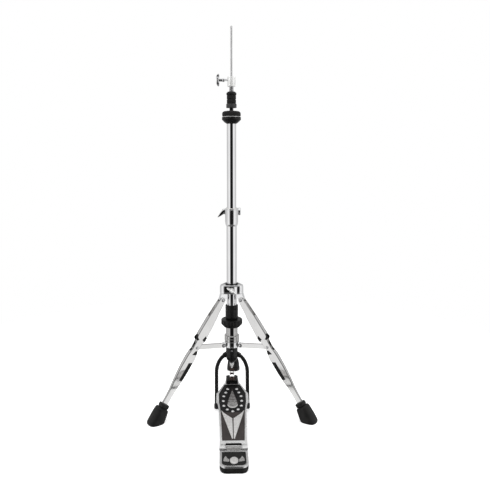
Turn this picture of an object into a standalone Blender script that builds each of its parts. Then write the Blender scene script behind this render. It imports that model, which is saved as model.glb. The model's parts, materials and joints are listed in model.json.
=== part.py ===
"""Hi-hat stand with a chain pedal and a folding tripod, at rest with its legs open.

Metres, +Z up. The player sits on the -Y side. Every piece hangs from the empty "column", whose Z axis
is the axis of the tubes and of the pull rod, so all places below are measured from that axis.
"""

import math

import bmesh
import bpy
from mathutils import Matrix, Vector

# Driving dimensions --------------------------------------------------------------------------------

COLUMN_Y = 0.0491  # the tubes stand this far behind the middle of the footprint
GAP = 0.0003  # clearance between neighbouring solids
ROUND_STEPS = 24  # facets of a tube
SMALL_STEPS = 12  # facets of a pin, a bolt or a rod

# Tubes and the pull rod
UPPER_TUBE_RADIUS = 0.0127
UPPER_TUBE_BORE = 0.0113
UPPER_TUBE_BOTTOM = 0.4400
UPPER_TUBE_TOP = 0.7997
BASE_TUBE_RADIUS = 0.0143
BASE_TUBE_BORE = 0.0131
BASE_TUBE_BOTTOM = 0.2850
BASE_TUBE_TOP = 0.5620
UPPER_ROD_RADIUS = 0.0030
LOWER_ROD_RADIUS = 0.0040
ROD_TOP = 1.0500
ROD_JOIN = 0.6400
ROD_BOTTOM = 0.1168

# Cymbal seat and clutch
SEAT_RADIUS = 0.0255
CUP_TOP = 0.8170
FELT_TOP = 0.8330
FELT_BORE = 0.0062
WASHER_THICKNESS = 0.0017
CLUTCH_BOTTOM = 0.8335
CLUTCH_NECK_TOP = 0.8965
CLUTCH_TOP = 0.9207
CLUTCH_RADIUS = 0.0110
CLUTCH_NECK_RADIUS = 0.0058
CLUTCH_BORE = 0.0036
CLUTCH_BOLT_Z = 0.9130
TOP_NUT = (0.8745, 0.8830)  # bottom and top of each piece on the clutch's thread
UPPER_FELT = (0.8633, 0.8742)
LOWER_FELT = (0.8518, 0.8630)
BOTTOM_NUT = (0.8410, 0.8515)

# Height clamp
COLLAR_RADIUS = 0.0180
COLLAR_BOTTOM = 0.5226
COLLAR_TOP = 0.5710
COLLAR_BOLT_Y = 0.0235
COLLAR_BOLT_Z = 0.5600

# Tripod: the hub slides on the base tube, the legs hang from it and braces hold them
HUB_BOTTOM = 0.3320
HUB_TOP = 0.3570
HUB_FLAT_RADIUS = 0.0260
HUB_LOBE_RADIUS = 0.0360
HUB_BOLT_Z = 0.3445
LEG_PIVOT_RADIUS = 0.0322
LEG_PIVOT_Z = 0.3146
LEG_TILT = math.radians(34.16)
LEG_LENGTH = 0.3500
LEG_JOINT = 0.1495  # from the top rivet down to the brace's joint
STRIP_THICKNESS = 0.0022
STRIP_SPACING = 0.0096
STRIP_BEND = 0.0285  # this far below the brace's joint the two strips turn towards each other
STRIP_END_HALF = 0.0070
BRACE_PIVOT_RADIUS = 0.0290
BRACE_PIVOT_Z = 0.1796
BRACE_HALF_HEIGHT = 0.0065
BRACE_HALF_WIDTH = 0.0043
BRACE_WALL = 0.0015
RIVET_RADIUS = 0.0030
JOINT_RADIUS = LEG_PIVOT_RADIUS + LEG_JOINT * math.sin(LEG_TILT)
JOINT_Z = LEG_PIVOT_Z - LEG_JOINT * math.cos(LEG_TILT)
BRACE_LENGTH = math.hypot(JOINT_RADIUS - BRACE_PIVOT_RADIUS, JOINT_Z - BRACE_PIVOT_Z)
LEGS = {"front_right": -30, "back": 88, "front_left": 210}  # degrees from +X

# Spring unit below the base tube
HOUSING_RADIUS = 0.0180
HOUSING_TOP = 0.2955
HOUSING_BOTTOM = 0.2543
SPRING_TUBE_RADIUS = 0.0170
SPRING_TUBE_BOTTOM = 0.1710
NECK_RADIUS = 0.0130
KNOB_RADIUS = 0.0305
KNOB_BOTTOM = 0.2310
KNOB_TOP = 0.2540
SPRING_TURNS = 6
SPRING_POINTS_PER_TURN = 9

# Frame below the spring unit
YOKE_TOP = 0.1707
YOKE_BOTTOM = 0.1245
ARCH_HALF_WIDTH = 0.0448
ARCH_SPRING_Z = 0.0980
ARCH_RISE = 0.0530
FRAME_ROD_RADIUS = 0.0055
FRAME_RAKE = 0.0440  # how far the rods reach forward at the floor
FRAME_RAKE_TOP = 0.1520

# Pedal
HINGE_FORWARD = 0.2850
HINGE_Z = 0.0175
PEDAL_SLOPE = math.radians(11.4)
BOARD_TOP = 0.0048
BOARD_BOTTOM = 0.0006
PANEL_DEPTH = 0.0010
HEEL_REAR = 0.3620
HEEL_FRONT = 0.2955
HEEL_HALF_WIDTH = 0.0336
HEEL_TOP = 0.0190
CHAIN_TOP_Z = 0.1100
CHAIN_FOOT_FORWARD = 0.0150
CHAIN_FOOT_Z = 0.0820

TO_X = Matrix.Rotation(math.pi / 2, 4, "Y")  # turns a shape made about Z to lie about X
TO_Y = Matrix.Rotation(-math.pi / 2, 4, "X")  # turns a shape made about Z to lie about Y
UPRIGHT = Matrix.Rotation(math.pi / 2, 4, "X")  # stands a flat outline up in the XZ plane
SIDEWAYS = Matrix(((0, 0, 1, 0), (1, 0, 0, 0), (0, 1, 0, 0), (0, 0, 0, 1)))  # or up in the YZ plane


# Materials -----------------------------------------------------------------------------------------


CHROME = ("chrome", (0.85, 0.85, 0.86), 0.08, 1.0)
STEEL = ("steel", (0.62, 0.62, 0.63), 0.30, 1.0)
ALUMINIUM = ("aluminium", (0.78, 0.78, 0.78), 0.35, 1.0)
BLACK_PAINT = ("black_paint", (0.02, 0.02, 0.02), 0.35, 0.0)
BLACK_PLASTIC = ("black_plastic", (0.03, 0.03, 0.03), 0.45, 0.0)
WHITE_NYLON = ("white_nylon", (0.75, 0.74, 0.70), 0.50, 0.0)
FELT = ("felt", (0.015, 0.015, 0.015), 0.95, 0.0)
RUBBER = ("rubber", (0.02, 0.02, 0.02), 0.80, 0.0)
PANEL = ("panel", (0.04, 0.04, 0.04), 0.60, 0.0)


def material_for(name, look):
    """A material of the piece's own, in one of the looks above."""
    _, colour, roughness, metallic = look
    material = bpy.data.materials.new(f"{name}_{look[0]}")
    material.use_nodes = True
    shader = material.node_tree.nodes["Principled BSDF"]
    shader.inputs["Base Color"].default_value = (*colour, 1.0)
    shader.inputs["Roughness"].default_value = roughness
    shader.inputs["Metallic"].default_value = metallic
    return material


# Modelling tools -----------------------------------------------------------------------------------


def closed_mesh(shape):
    """The bmesh as mesh data, welded and facing out."""
    bmesh.ops.remove_doubles(shape, verts=shape.verts, dist=1e-6)
    bmesh.ops.recalc_face_normals(shape, faces=shape.faces)
    mesh = bpy.data.meshes.new("piece")
    shape.to_mesh(mesh)
    shape.free()
    return mesh


def turned(outline, steps=ROUND_STEPS, bored=True):
    """A shape turned about Z from (radius, z) points. A bored outline is a closed loop, any other
    starts and ends on the axis."""
    shape = bmesh.new()
    verts = [shape.verts.new((radius, 0, z)) for radius, z in outline]
    edges = [shape.edges.new(pair) for pair in zip(verts, verts[1:])]
    if bored:
        edges.append(shape.edges.new((verts[-1], verts[0])))
    bmesh.ops.spin(
        shape, geom=verts + edges, axis=(0, 0, 1), cent=(0, 0, 0), angle=math.tau, steps=steps
    )
    return closed_mesh(shape)


def ring(outer, inner, bottom, top, steps=ROUND_STEPS):
    return turned([(inner, top), (outer, top), (outer, bottom), (inner, bottom)], steps)


def rod(radius, bottom, top, steps=SMALL_STEPS):
    return turned([(0, top), (radius, top), (radius, bottom), (0, bottom)], steps, bored=False)


def circle(x, y, radius, steps=SMALL_STEPS, start=0.0, end=math.tau):
    """Points on a circle, or on an arc where start and end are given."""
    count = steps if end - start >= math.tau else steps + 1
    angles = [start + (end - start) * i / steps for i in range(count)]
    return [(x + radius * math.cos(a), y + radius * math.sin(a)) for a in angles]


def slab(outline, low, high, holes=()):
    """A flat XY outline with holes, thick from z = low to z = high."""
    shape = bmesh.new()
    for loop in (outline, *holes):
        verts = [shape.verts.new((x, y, low)) for x, y in loop]
        for pair in zip(verts, verts[1:] + verts[:1]):
            shape.edges.new(pair)
    bmesh.ops.triangle_fill(shape, edges=shape.edges[:], use_beauty=True)
    raised = bmesh.ops.extrude_face_region(shape, geom=shape.faces[:])["geom"]
    verts = [item for item in raised if isinstance(item, bmesh.types.BMVert)]
    bmesh.ops.translate(shape, verts=verts, vec=(0, 0, high - low))
    return closed_mesh(shape)


def block(low, high):
    """A box between two corners."""
    low = Vector(low)
    high = Vector(high)
    shape = bmesh.new()
    size = Matrix.Diagonal((*(high - low), 1.0))
    bmesh.ops.create_cube(shape, size=1.0, matrix=Matrix.Translation((low + high) / 2) @ size)
    return closed_mesh(shape)


def lofted(rings):
    """A closed skin over rings of points, with flat ends."""
    shape = bmesh.new()
    loops = [[shape.verts.new(point) for point in points] for points in rings]
    for near, far in zip(loops, loops[1:]):
        count = len(near)
        for i in range(count):
            j = (i + 1) % count
            shape.faces.new((near[i], near[j], far[j], far[i]))
    shape.faces.new(loops[0])
    shape.faces.new(loops[-1])
    return closed_mesh(shape)


def place(x=0.0, y=0.0, z=0.0):
    return Matrix.Translation((x, y, z))


def moved(mesh, *matrices):
    """The mesh after the given transforms, the last one first."""
    for matrix in reversed(matrices):
        mesh.transform(matrix)
    return mesh


def carved(base, joins=(), cuts=()):
    """One closed mesh: the base with some shapes joined to it and others cut out of it."""
    meshes = [("UNION", mesh) for mesh in joins] + [("DIFFERENCE", mesh) for mesh in cuts]
    body = bpy.data.objects.new("carving", base)
    bpy.context.scene.collection.objects.link(body)
    tools = []
    for operation, mesh in meshes:
        tool = bpy.data.objects.new("tool", mesh)
        bpy.context.scene.collection.objects.link(tool)
        boolean = body.modifiers.new(operation, "BOOLEAN")
        boolean.operation = operation
        boolean.object = tool
        tools.append(tool)
    graph = bpy.context.evaluated_depsgraph_get()
    result = bpy.data.meshes.new_from_object(body.evaluated_get(graph))
    for helper in [body, *tools]:
        bpy.data.objects.remove(helper)
    return result


def empty(name, parent, location=(0, 0, 0), rotation=(0, 0, 0)):
    holder = bpy.data.objects.new(name, None)
    bpy.context.scene.collection.objects.link(holder)
    holder.parent = parent
    holder.location = location
    holder.rotation_euler = rotation
    return holder


def piece(name, data, look, parent, pivot=(0, 0, 0)):
    """An object in the parent's frame, with its own material and its origin at the pivot."""
    if isinstance(data, bpy.types.Mesh):
        data = data.copy()
        data.transform(Matrix.Translation(-Vector(pivot)))
        data.shade_smooth()
        data.set_sharp_from_angle(angle=math.radians(35))
    data.name = name
    data.materials.clear()
    data.materials.append(material_for(name, look))
    part = bpy.data.objects.new(name, data)
    bpy.context.scene.collection.objects.link(part)
    part.parent = parent
    part.location = pivot
    return part


def swept(points, radius, resolution=2):
    """A round bar along a list of points, with closed ends."""
    curve = bpy.data.curves.new("bar", "CURVE")
    curve.dimensions = "3D"
    curve.bevel_depth = radius
    curve.bevel_resolution = resolution
    curve.use_fill_caps = True
    spline = curve.splines.new("POLY")
    spline.points.add(len(points) - 1)
    for point, place in zip(spline.points, points):
        point.co = (*place, 1.0)
    return curve


# Column --------------------------------------------------------------------------------------------


def make_tubes(column):
    base_tube = ring(BASE_TUBE_RADIUS, BASE_TUBE_BORE, BASE_TUBE_BOTTOM, BASE_TUBE_TOP)
    piece("base_tube", base_tube, CHROME, column)
    upper_tube = ring(UPPER_TUBE_RADIUS, UPPER_TUBE_BORE, UPPER_TUBE_BOTTOM, UPPER_TUBE_TOP)
    piece("upper_tube", upper_tube, CHROME, column)


def make_pull_rod(column):
    socket_depth = 0.015
    socket_radius = UPPER_ROD_RADIUS + GAP
    lower = turned(
        [
            (0, ROD_JOIN - socket_depth),
            (socket_radius, ROD_JOIN - socket_depth),
            (socket_radius, ROD_JOIN),
            (LOWER_ROD_RADIUS, ROD_JOIN),
            (LOWER_ROD_RADIUS, ROD_BOTTOM),
            (0, ROD_BOTTOM),
        ],
        SMALL_STEPS,
        bored=False,
    )
    piece("lower_pull_rod", lower, STEEL, column)
    upper = rod(UPPER_ROD_RADIUS, ROD_JOIN - socket_depth + GAP, ROD_TOP)
    piece("upper_pull_rod", upper, CHROME, column)


def make_seat(column):
    bore = 0.0036
    plug_radius = UPPER_TUBE_BORE - GAP
    plug_bottom = UPPER_TUBE_TOP - 0.015
    shoulder = UPPER_TUBE_TOP + GAP
    cup = turned(
        [
            (bore, CUP_TOP),
            (SEAT_RADIUS, CUP_TOP),
            (SEAT_RADIUS, CUP_TOP - 0.0075),
            (SEAT_RADIUS - 0.0035, CUP_TOP - 0.0105),
            (UPPER_TUBE_RADIUS, shoulder),
            (plug_radius, shoulder),
            (plug_radius, plug_bottom),
            (bore, plug_bottom),
        ]
    )
    piece("seat_cup", cup, BLACK_PLASTIC, column)
    rim = SEAT_RADIUS - 0.0005
    washer_bottom = CUP_TOP + GAP
    washer_top = washer_bottom + WASHER_THICKNESS
    washer = ring(rim, FELT_BORE - 0.0010, washer_bottom, washer_top)
    piece("seat_washer", washer, STEEL, column)
    felt_bottom = washer_top + GAP
    felt = turned(
        [
            (FELT_BORE, FELT_TOP),
            (rim - 0.0060, FELT_TOP),
            (rim - 0.0018, FELT_TOP - 0.0022),
            (rim, FELT_TOP - 0.0062),
            (rim, felt_bottom),
            (FELT_BORE, felt_bottom),
        ]
    )
    piece("seat_felt", felt, FELT, column)


def wing(length, width, thickness, bow=0.0, reach=-1.0):
    """A wing along Z, thick along Y and wide along X. reach is where it starts, from -1, for a double
    wing, to 0, for a single one."""
    rings = []
    count = 8
    for i in range(count + 1):
        t = reach + (1.0 - reach) * i / count
        taper = math.sqrt(max(0.0, 1.0 - (0.93 * t) ** 2))
        half_x = width / 2 * (0.45 + 0.55 * taper)
        half_y = thickness / 2 * (0.40 + 0.60 * taper)
        centre = bow * t * t
        loop = [
            (centre + half_x * math.cos(a), half_y * math.sin(a), length / 2 * t)
            for a in (math.tau * j / 8 for j in range(8))
        ]
        rings.append(loop)
    return lofted(rings)


def wing_bolt(shank_length, stem_radius, stem_length):
    """A bolt whose tip is at the origin and whose stem and wings lie along -X."""
    wing_centre = -(shank_length + stem_length + 0.0020)
    wings = moved(wing(0.0330, 0.0085, 0.0060, 0.0020), Matrix.Translation((wing_centre, 0, 0)))
    outline = [
        (0, 0),
        (UPPER_ROD_RADIUS, 0),
        (UPPER_ROD_RADIUS, shank_length),
        (stem_radius, shank_length + 0.0008),
        (stem_radius * 0.8, shank_length + stem_length),
        (0, shank_length + stem_length),
    ]
    shank = moved(turned(outline, SMALL_STEPS, bored=False), TO_X.inverted())
    return carved(wings, joins=[shank])


def make_clutch(column):
    tube = turned(
        [
            (CLUTCH_BORE, CLUTCH_TOP),
            (CLUTCH_RADIUS - 0.0006, CLUTCH_TOP),
            (CLUTCH_RADIUS, CLUTCH_TOP - 0.0006),
            (CLUTCH_RADIUS, CLUTCH_NECK_TOP),
            (CLUTCH_NECK_RADIUS, CLUTCH_NECK_TOP),
            (CLUTCH_NECK_RADIUS, CLUTCH_BOTTOM),
            (CLUTCH_BORE, CLUTCH_BOTTOM),
        ]
    )
    bolt_bore = moved(rod(UPPER_ROD_RADIUS + GAP, -0.0130, -0.0020), place(z=CLUTCH_BOLT_Z), TO_X)
    piece("clutch_tube", carved(tube, cuts=[bolt_bore]), CHROME, column)

    bore = CLUTCH_NECK_RADIUS + GAP
    nut_radius = 0.0135
    nut_bottom, nut_top = TOP_NUT
    nut = turned(
        [
            (bore, nut_top),
            (nut_radius - 0.0037, nut_top),
            (nut_radius, nut_top - 0.0035),
            (nut_radius, nut_bottom),
            (bore, nut_bottom),
        ]
    )
    piece("clutch_top_nut", nut, BLACK_PLASTIC, column)
    felt_radius = 0.0124
    piece("clutch_upper_felt", ring(felt_radius, bore, *UPPER_FELT), FELT, column)
    piece("clutch_lower_felt", ring(felt_radius, bore, *LOWER_FELT), FELT, column)
    piece("clutch_bottom_nut", ring(0.0140, bore, *BOTTOM_NUT), BLACK_PLASTIC, column)

    tip = Vector((-UPPER_ROD_RADIUS - 2 * GAP, 0, CLUTCH_BOLT_Z))
    bolt = moved(wing_bolt(0.0150, 0.0050, 0.0160), Matrix.Translation(tip))
    piece("clutch_wing_bolt", bolt, CHROME, column, pivot=tip)


def lever_arm():
    """The clamp's single lever, from the nut's end face outwards and down."""
    stations = [
        (-0.0190, 0.0045, 0.0060, 0.0060),
        (-0.0235, 0.0040, 0.0062, 0.0075),
        (-0.0290, -0.0010, 0.0045, 0.0080),
        (-0.0345, -0.0075, 0.0032, 0.0066),
        (-0.0395, -0.0140, 0.0018, 0.0034),
    ]
    rings = []
    for x, z, half_height, half_width in stations:
        angles = [math.tau * i / 8 for i in range(8)]
        rings.append(
            [
                (
                    x + 0.5 * half_height * math.sin(angle),
                    half_width * math.cos(angle),
                    z + half_height * math.sin(angle),
                )
                for angle in angles
            ]
        )
    return lofted(rings)


def make_height_clamp(column):
    bore = BASE_TUBE_RADIUS + GAP
    collar = turned(
        [
            (bore, COLLAR_TOP),
            (COLLAR_RADIUS, COLLAR_TOP),
            (COLLAR_RADIUS, COLLAR_BOTTOM + 0.0120),
            (COLLAR_RADIUS - 0.0008, COLLAR_BOTTOM + 0.0055),
            (COLLAR_RADIUS - 0.0024, COLLAR_BOTTOM),
            (bore, COLLAR_BOTTOM),
        ]
    )
    ears = block((-0.0150, 0.0160, COLLAR_BOLT_Z - 0.0105), (0.0150, 0.0310, COLLAR_TOP))
    slit = block((-0.0010, 0.0120, 0.5400), (0.0010, 0.0330, COLLAR_TOP + 0.0010))
    at_bolt = place(y=COLLAR_BOLT_Y, z=COLLAR_BOLT_Z)
    pivot = (0, COLLAR_BOLT_Y, COLLAR_BOLT_Z)
    shank = 0.0040
    bolt_bore = moved(rod(shank + GAP, -0.0200, 0.0200), at_bolt, TO_X)
    piece("height_collar", carved(collar, joins=[ears], cuts=[slit, bolt_bore]), CHROME, column)

    bush = ring(bore - GAP, UPPER_TUBE_RADIUS + GAP, BASE_TUBE_TOP + GAP, COLLAR_TOP + 0.0010)
    piece("collar_bush", bush, WHITE_NYLON, column)

    head = 0.0153
    shank_end = -0.0215
    bolt = turned(
        [
            (0, 0.0260),
            (0.0090, 0.0260),
            (0.0105, 0.0245),
            (0.0105, head),
            (shank, head),
            (shank, shank_end),
            (0, shank_end),
        ],
        SMALL_STEPS,
        bored=False,
    )
    piece("collar_bolt", moved(bolt, at_bolt, TO_X), CHROME, column, pivot=pivot)

    nut = turned(
        [(0, -head), (0.0075, -head), (0.0075, -0.0235), (0.0060, -0.0260), (0, -0.0260)],
        SMALL_STEPS,
        bored=False,
    )
    thread = moved(rod(shank + GAP, shank_end - GAP, -0.0100), TO_X)
    nut = carved(moved(nut, TO_X), joins=[lever_arm()], cuts=[thread])
    piece("collar_wing_nut", moved(nut, at_bolt), CHROME, column, pivot=pivot)


# Tripod --------------------------------------------------------------------------------------------


def make_hub(column):
    bore = 0.0168
    outline = []
    for i in range(3 * SMALL_STEPS):
        angle = math.tau * i / (3 * SMALL_STEPS)
        lobe = (0.5 + 0.5 * math.cos(3 * (angle - math.radians(90)))) ** 1.5
        radius = HUB_FLAT_RADIUS + (HUB_LOBE_RADIUS - HUB_FLAT_RADIUS) * lobe
        outline.append((radius * math.cos(angle), radius * math.sin(angle)))
    body = slab(outline, HUB_BOTTOM, HUB_TOP, holes=[circle(0, 0, bore, ROUND_STEPS)])
    lug_half = STRIP_SPACING / 2 - GAP
    root = 0.0176
    end_radius = 0.0080
    lug = [(root, HUB_BOTTOM + 0.0030), (root, LEG_PIVOT_Z + 0.0040)]
    lug += circle(LEG_PIVOT_RADIUS, LEG_PIVOT_Z, end_radius, 8, math.pi, math.tau)
    lug += [(LEG_PIVOT_RADIUS + end_radius, LEG_PIVOT_Z + 0.0050)]
    lug += [(HUB_LOBE_RADIUS - 0.0010, HUB_BOTTOM + 0.0030)]
    bolt_bore = moved(rod(UPPER_ROD_RADIUS + GAP, -0.0320, -0.0140), place(z=HUB_BOLT_Z), TO_Y)
    lugs = []
    bores = [bolt_bore]
    for angle in LEGS.values():
        turn = Matrix.Rotation(math.radians(angle), 4, "Z")
        lugs.append(moved(slab(lug, -lug_half, lug_half), turn, UPRIGHT))
        at_pivot = place(LEG_PIVOT_RADIUS, 0, LEG_PIVOT_Z)
        bores.append(moved(rod(RIVET_RADIUS + GAP, -0.0080, 0.0080), turn, at_pivot, TO_Y))
    piece("tripod_hub", carved(body, joins=lugs, cuts=bores), CHROME, column)

    bush = turned(
        [
            (BASE_TUBE_RADIUS + GAP, HUB_TOP + 0.0012),
            (0.0190, HUB_TOP + 0.0012),
            (0.0190, HUB_TOP + GAP),
            (bore - GAP, HUB_TOP + GAP),
            (bore - GAP, HUB_BOTTOM),
            (BASE_TUBE_RADIUS + GAP, HUB_BOTTOM),
        ]
    )
    piece("hub_bush", bush, BLACK_PLASTIC, column)

    tip = Vector((0, -bore - GAP, HUB_BOLT_Z))
    sweep = Matrix.Rotation(math.radians(-60), 4, "X")
    facing = Matrix.Rotation(math.pi / 2, 4, "Z")
    bolt = moved(wing_bolt(0.0125, 0.0055, 0.0060), Matrix.Translation(tip), facing, sweep)
    piece("hub_wing_bolt", bolt, CHROME, column, pivot=tip)


def leg_strip(side):
    """One leg strip, down -Z from its rivet hole and wide along X. side is its side along Y."""
    waist = LEG_JOINT
    stations = [
        (-0.0080, 0.0012),
        (-0.0062, 0.0051),
        (-0.0030, 0.0074),
        (0.0030, 0.0080),
        (0.0400, 0.0101),
        (0.0550, 0.0116),
        (0.0800, 0.0130),
        (0.1050, 0.0139),
        (waist - 0.0315, 0.0142),
        (waist - 0.0195, 0.0100),
        (waist - 0.0065, 0.0086),
        (waist + 0.0085, 0.0086),
        (waist + 0.0160, 0.0106),
        (waist + STRIP_BEND, 0.0120),
        (waist + 0.0455, 0.0126),
        (waist + 0.0755, 0.0124),
        (waist + 0.1005, 0.0107),
        (waist + 0.1255, 0.0084),
        (waist + 0.1405, 0.0074),
        (LEG_LENGTH, STRIP_END_HALF),
    ]
    spread = (STRIP_SPACING + STRIP_THICKNESS) / 2
    bend = waist + STRIP_BEND
    closest = STRIP_THICKNESS / 2 + GAP
    rings = []
    for down, half in stations:
        turned_in = max(0.0, (down - bend) / (LEG_LENGTH - bend))
        middle = side * (spread + (closest - spread) * turned_in)
        near = middle - STRIP_THICKNESS / 2
        far = middle + STRIP_THICKNESS / 2
        rings.append(
            [(-half, near, -down), (half, near, -down), (half, far, -down), (-half, far, -down)]
        )
    hole = moved(rod(RIVET_RADIUS + GAP, -2 * spread, 2 * spread), TO_Y)
    return carved(lofted(rings), cuts=[hole])


def rivet(head_radius, radius, half_grip, head_height=0.0016):
    head = half_grip + head_height
    outline = [
        (0, head),
        (head_radius, head),
        (head_radius, half_grip),
        (radius, half_grip),
        (radius, -half_grip),
        (head_radius, -half_grip),
        (head_radius, -head),
        (0, -head),
    ]
    return turned(outline, SMALL_STEPS, bored=False)


def rounded_rectangle(half_x, half_y, corner, steps=3):
    points = []
    for quarter in range(4):
        start = quarter * math.pi / 2
        side_x = 1 if quarter in (0, 3) else -1
        side_y = 1 if quarter in (0, 1) else -1
        centre_x = side_x * (half_x - corner)
        centre_y = side_y * (half_y - corner)
        points += circle(centre_x, centre_y, corner, steps, start, start + math.pi / 2)
    return points


def foot_mesh():
    """The rubber foot in the leg's frame, in rings across the leg: a collar, a groove and a flared
    body that the floor cuts flat."""
    stations = [
        (0.3230, 0.0000, 0.0137),
        (0.3320, 0.0000, 0.0137),
        (0.3325, 0.0000, 0.0122),
        (0.3345, 0.0000, 0.0122),
        (0.3360, 0.0000, 0.0165),
        (0.3420, 0.0000, 0.0182),
        (0.3560, -0.0010, 0.0200),
        (0.3700, -0.0022, 0.0211),
        (0.3850, -0.0032, 0.0216),
        (0.3930, -0.0052, 0.0185),
        (0.4000, -0.0070, 0.0120),
    ]
    rings = []
    for down, shift, half in stations:
        outline = rounded_rectangle(half, half, 0.75 * half)
        rings.append([(x + shift, y, -down) for x, y in outline])
    body = lofted(rings)
    from_column = Matrix.Rotation(LEG_TILT, 4, "Y") @ place(-LEG_PIVOT_RADIUS, 0, -LEG_PIVOT_Z)
    below_floor = moved(block((0.1500, -0.0500, -0.0800), (0.3500, 0.0500, 0.0)), from_column)
    socket_half = STRIP_END_HALF + 0.0010
    pair_half = 0.0035
    socket = block(
        (-socket_half, -pair_half - GAP, -LEG_LENGTH - GAP),
        (socket_half, pair_half + GAP, -0.3100),
    )
    return carved(body, cuts=[below_floor, socket])


def make_legs(column):
    strips = {"left": leg_strip(1), "right": leg_strip(-1)}
    half_grip = STRIP_SPACING / 2 + STRIP_THICKNESS + GAP
    foot = foot_mesh()
    for name, angle in LEGS.items():
        turn = math.radians(angle)
        pivot = Matrix.Rotation(turn, 4, "Z") @ Vector((LEG_PIVOT_RADIUS, 0, LEG_PIVOT_Z))
        holder = empty(f"{name}_leg_axis", column, pivot, (0, -LEG_TILT, turn))
        for side, strip in strips.items():
            piece(f"{name}_leg_strip_{side}", strip, CHROME, holder)
        piece(f"{name}_leg_foot", foot, RUBBER, holder)
        top_rivet = moved(rivet(0.0052, RIVET_RADIUS, half_grip), TO_Y)
        piece(f"{name}_leg_rivet", top_rivet, STEEL, holder)


def make_braces(column):
    pivot_height = BRACE_PIVOT_Z
    lug_half = 0.0025
    lug_top = 0.0086
    lug_bottom = -0.0083
    bore = 0.0028
    collar = ring(0.0210, SPRING_TUBE_RADIUS + GAP, pivot_height + lug_bottom, pivot_height + lug_top)
    lug = [(0.0190, lug_bottom), (BRACE_PIVOT_RADIUS, lug_bottom)]
    lug += circle(BRACE_PIVOT_RADIUS, 0, 0.0081, 6, math.radians(-80), math.radians(80))
    lug += [(BRACE_PIVOT_RADIUS, lug_top), (0.0190, lug_top)]
    lugs = []
    bores = []
    for angle in LEGS.values():
        turn = Matrix.Rotation(math.radians(angle), 4, "Z")
        up = place(z=pivot_height)
        lugs.append(moved(slab(lug, -lug_half, lug_half), turn, up, UPRIGHT))
        at_pivot = place(BRACE_PIVOT_RADIUS, 0, pivot_height)
        bores.append(moved(rod(bore, -0.0060, 0.0060), turn, at_pivot, TO_Y))
    piece("brace_hub", carved(collar, joins=lugs, cuts=bores), CHROME, column)

    end = BRACE_HALF_HEIGHT
    side = circle(0, 0, end, 6, math.pi / 2, 3 * math.pi / 2)
    side += circle(BRACE_LENGTH, 0, end, 6, -math.pi / 2, math.pi / 2)
    bar = slab(side, -BRACE_HALF_WIDTH, BRACE_HALF_WIDTH, holes=[circle(0, 0, bore)])
    inner = BRACE_HALF_WIDTH - BRACE_WALL
    channel = block((-0.0080, -inner, -0.0080), (BRACE_LENGTH + 0.0080, inner, 0.0050))
    fork = block((-0.0080, -inner, 0.0040), (0.0105, inner, 0.0080))
    joint = block((BRACE_LENGTH - 0.0080, -inner, 0.0040), (BRACE_LENGTH + 0.0080, inner, 0.0080))
    brace = carved(moved(bar, UPRIGHT), cuts=[channel, fork, joint])

    rise = math.atan2(JOINT_Z - pivot_height, JOINT_RADIUS - BRACE_PIVOT_RADIUS)
    for name, angle in LEGS.items():
        turn = math.radians(angle)
        pivot = Matrix.Rotation(turn, 4, "Z") @ Vector((BRACE_PIVOT_RADIUS, 0, pivot_height))
        holder = empty(f"{name}_brace_axis", column, pivot, (0, -rise, turn))
        piece(f"{name}_brace", brace, CHROME, holder)
        pin = moved(rivet(0.0042, bore - GAP, BRACE_HALF_WIDTH + GAP, 0.0010), TO_Y)
        piece(f"{name}_brace_rivet", pin, STEEL, holder)


# Spring unit ---------------------------------------------------------------------------------------


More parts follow.
